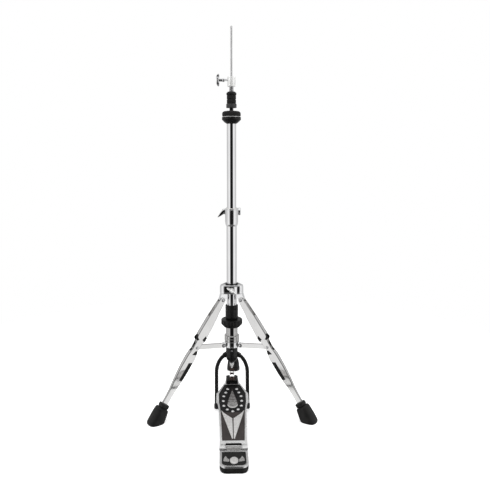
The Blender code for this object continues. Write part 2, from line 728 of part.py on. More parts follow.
def make_spring_unit(column):
    tube_bore = BASE_TUBE_RADIUS + GAP
    neck_bore = NECK_RADIUS + GAP
    neck_top = HOUSING_BOTTOM + 0.0207
    housing = turned(
        [
            (tube_bore, HOUSING_TOP),
            (HOUSING_RADIUS, HOUSING_TOP),
            (HOUSING_RADIUS, HOUSING_BOTTOM),
            (neck_bore, HOUSING_BOTTOM),
            (neck_bore, neck_top + GAP),
            (0.0055, neck_top + GAP),
            (0.0055, BASE_TUBE_BOTTOM - GAP),
            (tube_bore, BASE_TUBE_BOTTOM - GAP),
        ]
    )
    piece("spring_housing", housing, BLACK_PLASTIC, column)

    knob = turned(
        [
            (neck_bore, KNOB_TOP),
            (KNOB_RADIUS - 0.0020, KNOB_TOP),
            (KNOB_RADIUS, KNOB_TOP - 0.0020),
            (KNOB_RADIUS, KNOB_TOP - 0.0130),
            (KNOB_RADIUS - 0.0030, KNOB_TOP - 0.0155),
            (KNOB_RADIUS - 0.0060, KNOB_BOTTOM + 0.0022),
            (KNOB_RADIUS - 0.0095, KNOB_BOTTOM),
            (neck_bore, KNOB_BOTTOM),
        ]
    )
    piece("tension_knob", knob, BLACK_PLASTIC, column)

    ring_radius = 0.0215
    ring_top = 0.2070
    ring_bottom = 0.1887
    floor_top = SPRING_TUBE_BOTTOM + 0.0040
    shoulder = KNOB_BOTTOM - GAP
    inside = 0.0150
    neck_inside = 0.0116
    tube = turned(
        [
            (neck_inside, neck_top),
            (NECK_RADIUS, neck_top),
            (NECK_RADIUS, shoulder),
            (SPRING_TUBE_RADIUS, shoulder),
            (SPRING_TUBE_RADIUS, ring_top),
            (ring_radius, ring_top - 0.0015),
            (ring_radius, ring_bottom),
            (SPRING_TUBE_RADIUS, ring_bottom),
            (SPRING_TUBE_RADIUS, SPRING_TUBE_BOTTOM),
            (0.0048, SPRING_TUBE_BOTTOM),
            (0.0048, floor_top),
            (inside, floor_top),
            (inside, shoulder - 0.0030),
            (neck_inside, shoulder - 0.0030),
        ]
    )
    piece("spring_tube", tube, CHROME, column)

    wire = 0.0011
    coil_radius = 0.0090
    spring_bottom = floor_top + wire + GAP
    collar_bottom = 0.2510
    spring_top = collar_bottom - wire - GAP
    count = SPRING_TURNS * SPRING_POINTS_PER_TURN
    points = []
    for i in range(count + 1):
        angle = math.tau * i / SPRING_POINTS_PER_TURN
        height = spring_bottom + (spring_top - spring_bottom) * i / count
        points.append((coil_radius * math.cos(angle), coil_radius * math.sin(angle), height))
    piece("return_spring", swept(points, wire, resolution=1), STEEL, column)
    collar = ring(0.0110, LOWER_ROD_RADIUS + GAP, collar_bottom, collar_bottom + 0.0060)
    piece("spring_collar", collar, STEEL, column)


# Frame ---------------------------------------------------------------------------------------------


def rod_forward(z):
    """How far forward of the column the frame rods are at a height."""
    return FRAME_RAKE * max(0.0, 1.0 - z / FRAME_RAKE_TOP)


def frame_rod_points(side, start_degrees, foot_z):
    points = []
    steps = 9
    for i in range(steps + 1):
        angle = math.radians(start_degrees + (90 - start_degrees) * i / steps)
        z = ARCH_SPRING_Z + ARCH_RISE * math.cos(angle)
        points.append((side * ARCH_HALF_WIDTH * math.sin(angle), -rod_forward(z), z))
    points.append((side * ARCH_HALF_WIDTH, -rod_forward(foot_z), foot_z))
    return points


def capsule(start, end, radius, steps=SMALL_STEPS):
    """A flat-ended round bar between two points."""
    start = Vector(start)
    end = Vector(end)
    turn = Vector((0, 0, 1)).rotation_difference(end - start).to_matrix().to_4x4()
    return moved(rod(radius, 0, (end - start).length, steps), Matrix.Translation(start), turn)


def make_frame(column):
    rod_start = 24
    foot_z = 0.0060
    socket_radius = FRAME_ROD_RADIUS + 2 * GAP
    yoke = turned(
        [
            (0.0048, YOKE_TOP),
            (0.0170, YOKE_TOP),
            (0.0170, 0.1510),
            (0.0185, 0.1480),
            (0.0185, 0.1420),
            (0.0150, 0.1325),
            (0.0095, 0.1260),
            (0.0080, YOKE_BOTTOM),
            (0.0048, YOKE_BOTTOM),
        ]
    )
    screw_z = 0.1630
    screw_bore = moved(rod(0.0027, -0.0200, -0.0110, 8), place(z=screw_z), TO_Y)
    bosses = []
    sockets = [screw_bore]
    for side in (-1, 1):
        start, near = (Vector(p) for p in frame_rod_points(side, rod_start, foot_z)[:2])
        away = (near - start).normalized()
        bosses.append(capsule(start - 0.0080 * away, start + 0.0070 * away, 0.0075))
        sockets.append(capsule(start - GAP * away, start + 0.0200 * away, socket_radius))
    piece("frame_yoke", carved(yoke, joins=bosses, cuts=sockets), BLACK_PAINT, column)

    screw = turned(
        [(0, 0.0052), (0.0013, 0.0052), (0.0023, 0.0040), (0.0023, 0), (0, 0)], 8, bored=False
    )
    at_screw = place(y=-0.0135, z=screw_z)
    piece("yoke_screw", moved(screw, at_screw, TO_Y.inverted()), STEEL, column)

    foot_radius = 0.0070
    foot_top = 0.0140
    bar_half = 0.0040
    bar_bottom = 0.0030
    bar_top = 0.0080
    knee = Vector((0.0255, -0.0700))
    heel = Vector((0.0255, -0.3250))
    for name, side in (("left", -1), ("right", 1)):
        points = frame_rod_points(side, rod_start, foot_z)
        piece(f"frame_rod_{name}", swept(points, FRAME_ROD_RADIUS), BLACK_PAINT, column)
        rod_foot = Vector(points[-1])
        up = (Vector(points[-2]) - rod_foot).normalized()
        foot = moved(rod(foot_radius, 0, foot_top, 16), place(rod_foot.x, rod_foot.y))
        front = Vector((side * rod_foot.x, rod_foot.y))
        across = (knee - front).orthogonal().normalized() * bar_half
        outline = [
            front - across,
            front + across,
            Vector((knee.x + bar_half, knee.y)),
            Vector((heel.x + bar_half, heel.y)),
            Vector((heel.x - bar_half, heel.y)),
            Vector((knee.x - bar_half, knee.y)),
        ]
        bar = slab([(side * p.x, p.y) for p in outline], bar_bottom, bar_top)
        socket = capsule(rod_foot - GAP * up, rod_foot + 0.0200 * up, socket_radius)
        piece(f"radius_bar_{name}", carved(bar, joins=[foot], cuts=[socket]), BLACK_PAINT, column)


# Pedal ---------------------------------------------------------------------------------------------


def heel_outline(inset):
    """The heel's outline, with its two rear corners rounded."""
    half = HEEL_HALF_WIDTH - inset
    corner = 0.0170 - inset
    front = -HEEL_FRONT - inset
    rear = -HEEL_REAR + inset
    points = [(half, front), (-half, front)]
    points += circle(-half + corner, rear + corner, corner, 5, math.pi, 1.5 * math.pi)
    points += circle(half - corner, rear + corner, corner, 5, 1.5 * math.pi, math.tau)
    return points


def make_heel(column):
    plate_bottom = 0.0140
    border = 0.0050
    recess_depth = 0.0012
    base = lofted(
        [
            [(x, y, 0) for x, y in heel_outline(0.0018)],
            [(x, y, 0.0050) for x, y in heel_outline(0)],
            [(x, y, plate_bottom - GAP) for x, y in heel_outline(0)],
        ]
    )
    slots = []
    for side in (-1, 1):
        low = (side * 0.0255 - 0.0046, -0.3262, 0.0027)
        high = (side * 0.0255 + 0.0046, -0.2900, 0.0083)
        slots.append(block(low, high))
    tongue = block((-0.0190, -0.3050, 0.0), (0.0190, -0.2620, 0.0100))
    piece("heel_base", carved(base, joins=[tongue], cuts=slots), RUBBER, column)

    plate = slab(heel_outline(0), plate_bottom, HEEL_TOP)
    recess = slab(heel_outline(border), HEEL_TOP - recess_depth, HEEL_TOP + 0.0020)
    barrel_half = 0.0175
    at_hinge = place(y=-HINGE_FORWARD, z=HINGE_Z)
    barrel = moved(rod(0.0060, -barrel_half, barrel_half, 16), at_hinge, TO_X)
    web = block((-barrel_half, -0.2970, plate_bottom), (barrel_half, -HINGE_FORWARD, HEEL_TOP))
    bore = moved(rod(0.0028, -0.0200, 0.0200), at_hinge, TO_X)
    plate = carved(plate, joins=[web, barrel], cuts=[recess, bore])
    piece("heel_plate", plate, ALUMINIUM, column)
    panel = slab(heel_outline(border + GAP), HEEL_TOP - recess_depth + GAP, HEEL_TOP - 0.0002)
    piece("heel_panel", panel, PANEL, column)
    pin = moved(rod(0.0025, -0.0330, 0.0330), at_hinge, TO_X)
    piece("heel_hinge_pin", pin, STEEL, column, pivot=(0, -HINGE_FORWARD, HINGE_Z))


def mirrored(half_outline):
    """A closed outline from its right half, given from the heel end to the toe end."""
    return half_outline + [(-x, y) for x, y in reversed(half_outline)]


def make_footboard(column):
    """The board lies flat in the frame of its hinge, with +Y towards the toe."""
    hinge = empty(
        "footboard_axis", column, (0, -HINGE_FORWARD, HINGE_Z), (PEDAL_SLOPE, 0, 0)
    )
    heel_end = 0.0092
    toe_end = 0.2790
    slot_end = 0.0140
    slot_half = 0.0195
    board_half = [
        (slot_half, slot_end),
        (slot_half, heel_end),
        (0.0335, heel_end),
        (0.0335, 0.0460),
        (0.0368, 0.1330),
        (0.0385, 0.1560),
        (0.0405, 0.1700),
        (0.0440, 0.1720),
        (0.0440, 0.2100),
        (0.0400, 0.2150),
        (0.0245, 0.2520),
        (0.0205, 0.2590),
        (0.0180, toe_end),
    ]
    panel_half = [
        (0.0276, 0.0230),
        (0.0285, 0.0460),
        (0.0320, 0.1330),
        (0.0365, 0.1710),
        (0.0370, 0.2090),
        (0.0215, 0.2500),
    ]
    board = slab(mirrored(board_half), BOARD_BOTTOM, BOARD_TOP)
    recess = slab(mirrored(panel_half), BOARD_TOP - PANEL_DEPTH, BOARD_TOP + 0.0020)
    knuckles = []
    side_profile = circle(0, 0, 0.0062, 8, math.pi, math.tau)
    side_profile += [(0.0120, BOARD_BOTTOM), (0.0120, BOARD_TOP), (-0.0040, BOARD_TOP)]
    side_profile += [(-0.0062, 0.0030)]
    for side in (-1, 1):
        knuckle = slab(side_profile, -0.0063, 0.0063)
        knuckles.append(moved(knuckle, place(x=side * 0.0274), SIDEWAYS))
    bore = moved(rod(0.0028, -0.0400, 0.0400), TO_X)
    board = carved(board, joins=knuckles, cuts=[recess, bore])
    piece("footboard", board, ALUMINIUM, hinge)
    inner = [(x - GAP, y + (GAP if y < 0.1 else -GAP)) for x, y in panel_half]
    panel = slab(mirrored(inner), BOARD_TOP - PANEL_DEPTH + GAP, BOARD_TOP - 0.0001)
    piece("footboard_panel", panel, PANEL, hinge)

    clamp_half = 0.0170
    clamp_bottom = BOARD_TOP + GAP
    clamp_top = 0.0150
    clamp = block((-clamp_half, 0.2535, clamp_bottom), (clamp_half, 0.2795, clamp_top))
    chain_gap = block((-0.0068, 0.2690, 0.0000), (0.0068, 0.2900, 0.0200))
    piece("toe_clamp", carved(clamp, cuts=[chain_gap]), BLACK_PAINT, hinge)


def make_chain(column):
    top = Vector((0, 0, CHAIN_TOP_Z))
    foot = Vector((0, -CHAIN_FOOT_FORWARD, CHAIN_FOOT_Z))
    length = (top - foot).length
    lean = math.atan2(CHAIN_FOOT_FORWARD, CHAIN_TOP_Z - CHAIN_FOOT_Z)
    hanger = empty("chain_axis", column, top, (-lean, 0, 0))
    half_width = 0.0060
    end = 0.0036
    pin_radius = 0.0016
    side = circle(0, 0, end, 6, 0, math.pi)
    side += circle(0, -length, end, 6, math.pi, math.tau)
    links = slab(side, -half_width, half_width, holes=[circle(0, 0, pin_radius + GAP, 8)])
    tongue_gap = block((-0.0031, -0.0060, -0.0062), (0.0031, 0.0060, 0.0060))
    piece("drive_chain", carved(moved(links, SIDEWAYS), cuts=[tongue_gap]), STEEL, hanger)
    pin = moved(rod(pin_radius, -0.0066, 0.0066, 8), Matrix.Translation(top), TO_X)
    piece("chain_pin", pin, STEEL, column, pivot=top)

    tongue_half = 0.0028
    profile = [
        (0.0065, 0.1212),
        (-0.0065, 0.1212),
        (-0.0050, 0.1142),
        (-tongue_half, 0.1142),
        (-tongue_half, 0.1066),
        (tongue_half, 0.1066),
        (tongue_half, 0.1142),
        (0.0050, 0.1142),
    ]
    body = moved(slab(profile, -0.0052, 0.0052), UPRIGHT)
    socket = rod(LOWER_ROD_RADIUS + GAP, ROD_BOTTOM - GAP, 0.1300)
    pin_bore = moved(rod(pin_radius + GAP, -0.0070, 0.0070, 8), Matrix.Translation(top), TO_X)
    piece("rod_connector", carved(body, cuts=[socket, pin_bore]), CHROME, column)


# Assembly ------------------------------------------------------------------------------------------


def main():
    for item in list(bpy.data.objects):
        bpy.data.objects.remove(item)
    column = empty("column", None, (0, COLUMN_Y, 0))
    make_tubes(column)
    make_pull_rod(column)
    make_seat(column)
    make_clutch(column)
    make_height_clamp(column)
    make_hub(column)
    make_legs(column)
    make_braces(column)
    make_spring_unit(column)
    make_frame(column)
    make_heel(column)
    make_footboard(column)
    make_chain(column)


main()
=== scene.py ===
"""Looks of the hi-hat stand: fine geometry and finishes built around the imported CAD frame.

Metres, +Z up. The player sits on the -Y side. Shapes are modelled about the column's axis ("column
space") and moved to it when they become pieces.
"""

import json
import math

import bmesh
import bpy
from mathutils import Matrix, Vector


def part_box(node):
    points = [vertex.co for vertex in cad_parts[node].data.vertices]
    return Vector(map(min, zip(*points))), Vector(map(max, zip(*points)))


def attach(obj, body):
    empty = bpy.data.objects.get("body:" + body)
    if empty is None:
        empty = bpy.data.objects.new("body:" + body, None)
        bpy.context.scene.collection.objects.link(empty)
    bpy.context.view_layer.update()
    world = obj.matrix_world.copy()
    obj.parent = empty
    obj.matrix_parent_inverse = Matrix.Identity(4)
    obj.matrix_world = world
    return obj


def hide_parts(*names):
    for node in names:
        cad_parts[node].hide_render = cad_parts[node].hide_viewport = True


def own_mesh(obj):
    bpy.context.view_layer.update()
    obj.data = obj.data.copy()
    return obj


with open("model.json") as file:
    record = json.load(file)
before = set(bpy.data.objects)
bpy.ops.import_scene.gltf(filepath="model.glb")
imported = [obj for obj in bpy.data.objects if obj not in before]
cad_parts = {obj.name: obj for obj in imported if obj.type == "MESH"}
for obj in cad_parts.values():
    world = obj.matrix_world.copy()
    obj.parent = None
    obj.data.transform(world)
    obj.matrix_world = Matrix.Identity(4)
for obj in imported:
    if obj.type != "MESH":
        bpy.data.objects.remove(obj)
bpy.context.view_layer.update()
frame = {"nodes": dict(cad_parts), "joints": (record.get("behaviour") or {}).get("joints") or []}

JOINTS = {joint["name"]: joint for joint in frame["joints"]}
LEGS = ("front_right", "back", "front_left")
SIDES = ((-1, "left"), (1, "right"))
ROUND, MEDIUM, SMALL = 96, 48, 24  # facets of turned pieces
FIT = 0.0003  # clearance between parts that slide or turn on each other


def middle(node):
    low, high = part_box(node)
    return (low + high) / 2


COLUMN = Vector((middle("base_tube").x, middle("base_tube").y, 0))


def span(node, axis=2):
    """Lowest and highest value of a node along an axis, in column space."""
    low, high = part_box(node)
    return low[axis] - COLUMN[axis], high[axis] - COLUMN[axis]


def extent(node):
    """A turned node's radius, bottom and top, in column space."""
    return span(node, 0)[1], *span(node)


def pivot(joint):
    """A joint's point in column space."""
    return Vector(JOINTS[joint]["pos_m"]) - COLUMN


# --- Finishes ---


def add_ramp(tree, source, stops):
    """Maps a value to colours, from (position, grey or colour) stops."""
    ramp = tree.nodes.new("ShaderNodeValToRGB")
    elements = ramp.color_ramp.elements
    while len(elements) < len(stops):
        elements.new(0.5)
    for element, (position, value) in zip(elements, stops):
        element.position = position
        element.color = (*shade(value), 1)
    tree.links.new(source, ramp.inputs["Fac"])
    return ramp.outputs["Color"]


def add_range(tree, source, low, high):
    """Maps a value to a fraction of the way from low to high."""
    node = tree.nodes.new("ShaderNodeMapRange")
    node.inputs["From Min"].default_value = low
    node.inputs["From Max"].default_value = high
    tree.links.new(source, node.inputs["Value"])
    return node.outputs["Result"]


def add_mix(tree, factor, first, second, end):
    """Mixes two shaders by a factor, into the surface of the output node."""
    mix = tree.nodes.new("ShaderNodeMixShader")
    for source, socket in zip((factor, first, second), mix.inputs):
        tree.links.new(source, socket)
    tree.links.new(mix.outputs[0], tree.nodes[end].inputs["Surface"])


def shade(value):
    """A colour as it is, or a grey from one number."""
    return (value,) * 3 if isinstance(value, float) else value


class Finish:
    """A small builder for one procedural material."""

    def __init__(self, name, colour, metallic=0.0, roughness=0.4):
        self.name = name
        self.material = bpy.data.materials.new(f"{name}_finish")
        self.material.use_nodes = True
        self.tree = self.material.node_tree
        self.nodes = self.tree.nodes
        self.links = self.tree.links
        self.shader = self.nodes["Principled BSDF"]
        self.shader.inputs["Base Color"].default_value = (*colour, 1)
        self.shader.inputs["Metallic"].default_value = metallic
        self.shader.inputs["Roughness"].default_value = roughness
        self.place = self.nodes.new("ShaderNodeTexCoord").outputs["Object"]

    def set(self, **values):
        for name, value in values.items():
            self.shader.inputs[name.replace("_", " ")].default_value = value
        return self

    def noise(self, scale, detail=4.0, stretch=(1, 1, 1)):
        mapping = self.nodes.new("ShaderNodeMapping")
        mapping.inputs["Scale"].default_value = stretch
        self.links.new(self.place, mapping.inputs["Vector"])
        texture = self.nodes.new("ShaderNodeTexNoise")
        texture.inputs["Scale"].default_value = scale
        texture.inputs["Detail"].default_value = detail
        self.links.new(mapping.outputs["Vector"], texture.inputs["Vector"])
        return texture.outputs["Fac"]

    def vary_colour(self, scale, stops, detail=4.0):
        colour = add_ramp(self.tree, self.noise(scale, detail), stops)
        self.links.new(colour, self.shader.inputs["Base Color"])
        return self

    def vary_roughness(self, scale, low, high, detail=3.0, stretch=(1, 1, 1)):
        source = self.noise(scale, detail, stretch)
        value = add_ramp(self.tree, source, [(0.35, low), (0.65, high)])
        self.links.new(value, self.shader.inputs["Roughness"])
        return self

    def bump(self, scale, distance, strength=0.5, detail=4.0):
        node = self.nodes.new("ShaderNodeBump")
        node.inputs["Strength"].default_value = strength
        node.inputs["Distance"].default_value = distance
        self.links.new(self.noise(scale, detail), node.inputs["Height"])
        self.links.new(node.outputs["Normal"], self.shader.inputs["Normal"])
        return self


FINISH = {}


def finish(name, slot, base, colour, gloss, bump, metallic=0.0, roughness=0.4, detail=4.0, **more):
    """Makes a finish. colour is (scale, darkest, lightest), gloss (scale, smoothest, roughest)."""
    made = Finish(name, shade(base), metallic, roughness)
    scale, darkest, lightest = colour
    made.vary_colour(scale, [(0.3, shade(darkest)), (0.7, shade(lightest))], detail)
    if gloss:
        made.vary_roughness(*gloss)
    made.bump(*bump).set(**more)
    FINISH[name] = made.material


def make_finishes():
    finish(
        "chrome", "chrome", (0.86, 0.86, 0.87), (18, (0.84, 0.84, 0.85), (0.9, 0.9, 0.905)),
        (60, 0.035, 0.085), (9, 0.0002, 0.1, 2.0), 1.0,
    )
    finish(
        "pressed_chrome", "chrome", 0.7, (14, (0.66, 0.655, 0.65), (0.76, 0.755, 0.75)),
        (40, 0.07, 0.16), (25, 0.0004, 0.16, 2.0), 1.0,
    )
    finish(
        "cast_chrome", "chrome", (0.83, 0.83, 0.84), (22, (0.78, 0.78, 0.79), (0.88, 0.88, 0.885)),
        (70, 0.06, 0.15), (90, 0.0003, 0.14, 3.0), 1.0,
    )
    finish(
        "bright_steel", "bright_steel", (0.6, 0.6, 0.61),
        (90, (0.52, 0.52, 0.53), (0.68, 0.68, 0.69)), (160, 0.2, 0.36), (400, 0.0001, 0.25), 1.0,
    )
    finish(
        "smoked_chrome", "chrome", 0.5, (18, (0.46, 0.455, 0.45), (0.56, 0.555, 0.55)),
        (60, 0.05, 0.11), (9, 0.0002, 0.1, 2.0), 1.0,
    )
    finish(
        "satin_nickel", "cast_aluminium", (0.84, 0.84, 0.83),
        (90, (0.78, 0.78, 0.77), (0.9, 0.9, 0.89)), (150, 0.24, 0.36), (420, 0.0001, 0.2), 0.4,
    )
    finish(
        "ground_steel", "chrome", 0.74, (40, 0.7, (0.78, 0.78, 0.785)), (60, 0.18, 0.26),
        (60, 0.0001, 0.1), 0.75,
    )
    finish(
        "satin_aluminium", "cast_aluminium", 0.8, (30, 0.76, 0.88),
        (120, 0.22, 0.36, 3.0, (1, 0.15, 1)), (500, 0.0001, 0.25), 1.0,
    )
    finish(
        "silver_print", "cast_aluminium", (0.72, 0.71, 0.7),
        (240, (0.62, 0.61, 0.6), (0.8, 0.79, 0.78)), (300, 0.34, 0.5), (900, 0.00008, 0.3), 0.75,
    )
    finish(
        "grey_print", "cast_aluminium", (0.3, 0.295, 0.29),
        (240, (0.22, 0.215, 0.21), (0.38, 0.375, 0.37)), (300, 0.38, 0.54), (900, 0.00008, 0.3),
        0.5,
    )
    finish(
        "black_paint", "black_paint", 0.006, (60, 0.004, 0.009), (200, 0.2, 0.36),
        (700, 0.0002, 0.3), Specular_IOR_Level=0.35,
    )
    finish(
        "black_plastic", "black_plastic", 0.006, (80, 0.004, 0.009), (220, 0.3, 0.48),
        (1500, 0.0001, 0.3), Specular_IOR_Level=0.25,
    )
    finish(
        "knurled_plastic", "black_plastic", 0.03, (120, 0.022, 0.045), (220, 0.3, 0.46),
        (1200, 0.0001, 0.3), Specular_IOR_Level=0.4,
    )
    finish(
        "white_nylon", "white_nylon", (0.7, 0.69, 0.65),
        (50, (0.64, 0.63, 0.59), (0.74, 0.73, 0.7)), (150, 0.42, 0.58), (800, 0.0001, 0.2),
    )
    finish(
        "black_felt", "felt", 0.006, (900, 0.003, (0.014, 0.0135, 0.013)), None,
        (1400, 0.0008, 0.9, 8.0), roughness=0.95, detail=6.0, Sheen_Weight=0.08,
        Sheen_Roughness=0.6, Specular_IOR_Level=0.15,
    )
    finish(
        "black_rubber", "rubber", 0.008, (70, 0.005, (0.012, 0.0115, 0.011)), (160, 0.42, 0.62),
        (1100, 0.0002, 0.35), roughness=0.7, Specular_IOR_Level=0.25,
    )
    finish(
        "dark_panel", "panel", (0.03, 0.026, 0.025),
        (30, (0.024, 0.02, 0.019), (0.038, 0.031, 0.03)), (260, 0.34, 0.48), (1300, 0.0001, 0.25),
        Specular_IOR_Level=0.25,
    )
    finish(
        "black_panel", "panel", 0.006, (60, 0.004, (0.008, 0.0075, 0.0075)), (260, 0.28, 0.42),
        (1300, 0.0001, 0.25), Specular_IOR_Level=0.2,
    )
    finish(
        "oiled_chain", "bright_steel", (0.1, 0.07, 0.06),
        (300, (0.035, 0.022, 0.018), (0.13, 0.085, 0.07)), (400, 0.3, 0.5), (800, 0.0001, 0.3), 0.8,
    )


make_finishes()


# --- Modelling tools ---


def arc(x, y, radius, start, end, steps):
    """Points along an arc, angles in degrees."""
    angles = [math.radians(start + (end - start) * i / steps) for i in range(steps + 1)]
    return [(x + radius * math.cos(a), y + radius * math.sin(a)) for a in angles]


def circle(x, y, radius, steps=SMALL):
    return arc(x, y, radius, 0, 360, steps)[:-1]


def softened(points, radius, steps=3, closed=True):
    """The outline with its corners rounded. An open outline keeps its two ends."""
    rounded = []
    count = len(points)
    for i, point in enumerate(points):
        here = Vector(point)
        if not closed and i in (0, count - 1):
            rounded.append(tuple(here))
            continue
        before = Vector(points[i - 1]) - here
        after = Vector(points[(i + 1) % count]) - here
        turn = before.angle(after, math.pi)
        if turn > math.radians(172) or before.length < 1e-7 or after.length < 1e-7:
            rounded.append(tuple(here))
            continue
        reach = min(radius / math.tan(turn / 2), 0.45 * before.length, 0.45 * after.length)
        start = here + before.normalized() * reach
        end = here + after.normalized() * reach
        for k in range(steps + 1):
            t = k / steps
            rounded.append(tuple((1 - t) ** 2 * start + 2 * t * (1 - t) * here + t * t * end))
    return rounded


def lathe(outline, steps=ROUND, bored=False, soften=0.0004):
    """A turned shape from (radius, z) points: a closed loop if bored, else ending on the axis."""
    outline = softened(outline, soften, closed=bored) if soften else outline
    shape = bmesh.new()
    rings = []
    for i in range(steps):
        angle = math.tau * i / steps
        c = math.cos(angle)
        s = math.sin(angle)
        rings.append([shape.verts.new((r * c, r * s, z)) for r, z in outline])
    count = len(outline)
    last = count if bored else count - 1
    for i in range(steps):
        near = rings[i]
        far = rings[(i + 1) % steps]
        for j in range(last):
            k = (j + 1) % count
            shape.faces.new((near[j], far[j], far[k], near[k]))
    bmesh.ops.remove_doubles(shape, verts=shape.verts, dist=1e-7)
    return shape


def ring(outer, inner, bottom, top, soften=0.0004, steps=ROUND):
    """A plain tube about Z."""
    loop = [(inner, top), (outer, top), (outer, bottom), (inner, bottom)]
    return lathe(loop, steps, bored=True, soften=soften)


def peg(radius, bottom, top, soften=0.0003, steps=SMALL):
    return lathe([(0, top), (radius, top), (radius, bottom), (0, bottom)], steps, soften=soften)


def slab(outline, low, high, holes=()):
    """A flat XY outline with holes, thick from z = low to z = high."""
    shape = bmesh.new()
    for loop in (outline, *holes):
        verts = [shape.verts.new((x, y, low)) for x, y in loop]
        for pair in zip(verts, verts[1:] + verts[:1]):
            shape.edges.new(pair)
    bmesh.ops.triangle_fill(shape, edges=shape.edges[:], use_beauty=True)
    bmesh.ops.dissolve_limit(
        shape, angle_limit=0.01, verts=[], edges=[e for e in shape.edges if not e.is_boundary]
    )
    raised = bmesh.ops.extrude_face_region(shape, geom=shape.faces[:])["geom"]
    verts = [item for item in raised if isinstance(item, bmesh.types.BMVert)]
    bmesh.ops.translate(shape, verts=verts, vec=(0, 0, high - low))
    return shape


def loft(rings, closed_ends=True):
    """A skin over rings that have equal numbers of points."""
    shape = bmesh.new()
    loops = [[shape.verts.new(point) for point in points] for points in rings]
    for near, far in zip(loops, loops[1:]):
        count = len(near)
        for i in range(count):
            j = (i + 1) % count
            shape.faces.new((near[i], near[j], far[j], far[i]))
    if closed_ends:
        shape.faces.new(loops[0])
        shape.faces.new(loops[-1])
    return shape


def tube_along(points, radius, sides):
    """A round bar along points, with slightly rounded ends."""
    path = [Vector(p) for p in points]
    rings = []
    up = Vector((0, 1, 0))
    count = len(path)
    for i, here in enumerate(path):
        ahead = path[min(i + 1, count - 1)] - path[max(i - 1, 0)]
        side = ahead.cross(up).normalized()
        up = side.cross(ahead).normalized()
        angles = [math.tau * k / sides for k in range(sides)]
        rings.append([(side * math.cos(a) + up * math.sin(a), here) for a in angles])
    end_round = 0.3
    start = (path[0] - path[1]).normalized() * radius * end_round
    finish = (path[-1] - path[-2]).normalized() * radius * end_round
    made = [[here + start + d * radius * 0.7 for d, here in rings[0]]]
    made += [[here + d * radius for d, here in loop] for loop in rings]
    made.append([here + finish + d * radius * 0.7 for d, here in rings[-1]])
    return loft(made)


def moved(shape, *matrices):
    """The shape after the given transforms, the last one first."""
    for matrix in reversed(matrices):
        bmesh.ops.transform(shape, matrix=matrix, verts=shape.verts)
    return shape


def place(x=0.0, y=0.0, z=0.0):
    return Matrix.Translation((x, y, z))


def turn(degrees, axis):
    return Matrix.Rotation(math.radians(degrees), 4, axis)


TO_X = turn(90, "Y")  # lays a shape made about Z along X
TO_Y = turn(-90, "X")  # lays a shape made about Z along Y
UPRIGHT = turn(90, "X")  # stands a flat outline up in the XZ plane
# Stands a flat outline up in the YZ plane.
SIDEWAYS = Matrix(((0, 0, 1, 0), (1, 0, 0, 0), (0, 1, 0, 0), (0, 0, 0, 1)))


def joined(*shapes):
    """Several shapes as one mesh."""
    whole = bmesh.new()
    for shape in shapes:
        part = bpy.data.meshes.new("part")
        bmesh.ops.recalc_face_normals(shape, faces=shape.faces)
        shape.to_mesh(part)
        shape.free()
        whole.from_mesh(part)
        bpy.data.meshes.remove(part)
    return whole


def to_mesh(shape, name):
    bmesh.ops.recalc_face_normals(shape, faces=shape.faces)
    mesh = bpy.data.meshes.new(name)
    shape.to_mesh(mesh)
    shape.free()
    return mesh


def new_object(name, data):
    """An object in the scene's own collection."""
    item = bpy.data.objects.new(name, data)
    bpy.context.scene.collection.objects.link(item)
    return item


def carve(target, *cutters):
    """Cuts shapes out of an object with Booleans and applies them."""
    tools = []
    for shape in cutters:
        tool = new_object("cutter", to_mesh(shape, "cutter"))
        cut = target.modifiers.new("cut", "BOOLEAN")
        cut.operation = "DIFFERENCE"
        cut.object = tool
        tools.append(tool)
    graph = bpy.context.evaluated_depsgraph_get()
    result = bpy.data.meshes.new_from_object(target.evaluated_get(graph))
    target.modifiers.clear()
    target.data = result
    for tool in tools:
        bpy.data.objects.remove(tool)
    return target


def piece(name, shape, finish, body, stands_for=(), bevel=0.0, cuts=(), smooth=35, segments=3):
    """A finished piece in column space that rides on a CAD body."""
    item = new_object(name, to_mesh(shape, name))
    if cuts:
        carve(item, *cuts)
    item.data.transform(Matrix.Translation(COLUMN))
    item.data.materials.clear()
    item.data.materials.append(FINISH[finish])
    item.data.shade_smooth()
    item.data.set_sharp_from_angle(angle=math.radians(smooth))
    if bevel:
        edge = item.modifiers.new("edges", "BEVEL")
        edge.width = bevel
        edge.segments = segments
        edge.limit_method = "ANGLE"
        edge.angle_limit = math.radians(32)
        edge.harden_normals = True
    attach(item, body)
    if stands_for:
        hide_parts(*stands_for)
    return item


def shaped_lathe(outline, modulate, steps, bored=False):
    """A lathe whose radius is changed by modulate(radius, angle, z)."""
    shape = lathe(outline, steps, bored, soften=0)
    for vert in shape.verts:
        radius = math.hypot(vert.co.x, vert.co.y)
        if radius > 1e-6:
            scale = modulate(radius, math.atan2(vert.co.y, vert.co.x), vert.co.z) / radius
            vert.co.x *= scale
            vert.co.y *= scale
    return shape


def dense(points, longest):
    """The outline with extra points so that no edge is longer than given."""
    filled = []
    for start, end in zip(points, points[1:]):
        start = Vector(start)
        end = Vector(end)
        count = max(1, math.ceil((end - start).length / longest))
        filled += [tuple(start.lerp(end, i / count)) for i in range(count)]
    return filled + [points[-1]]


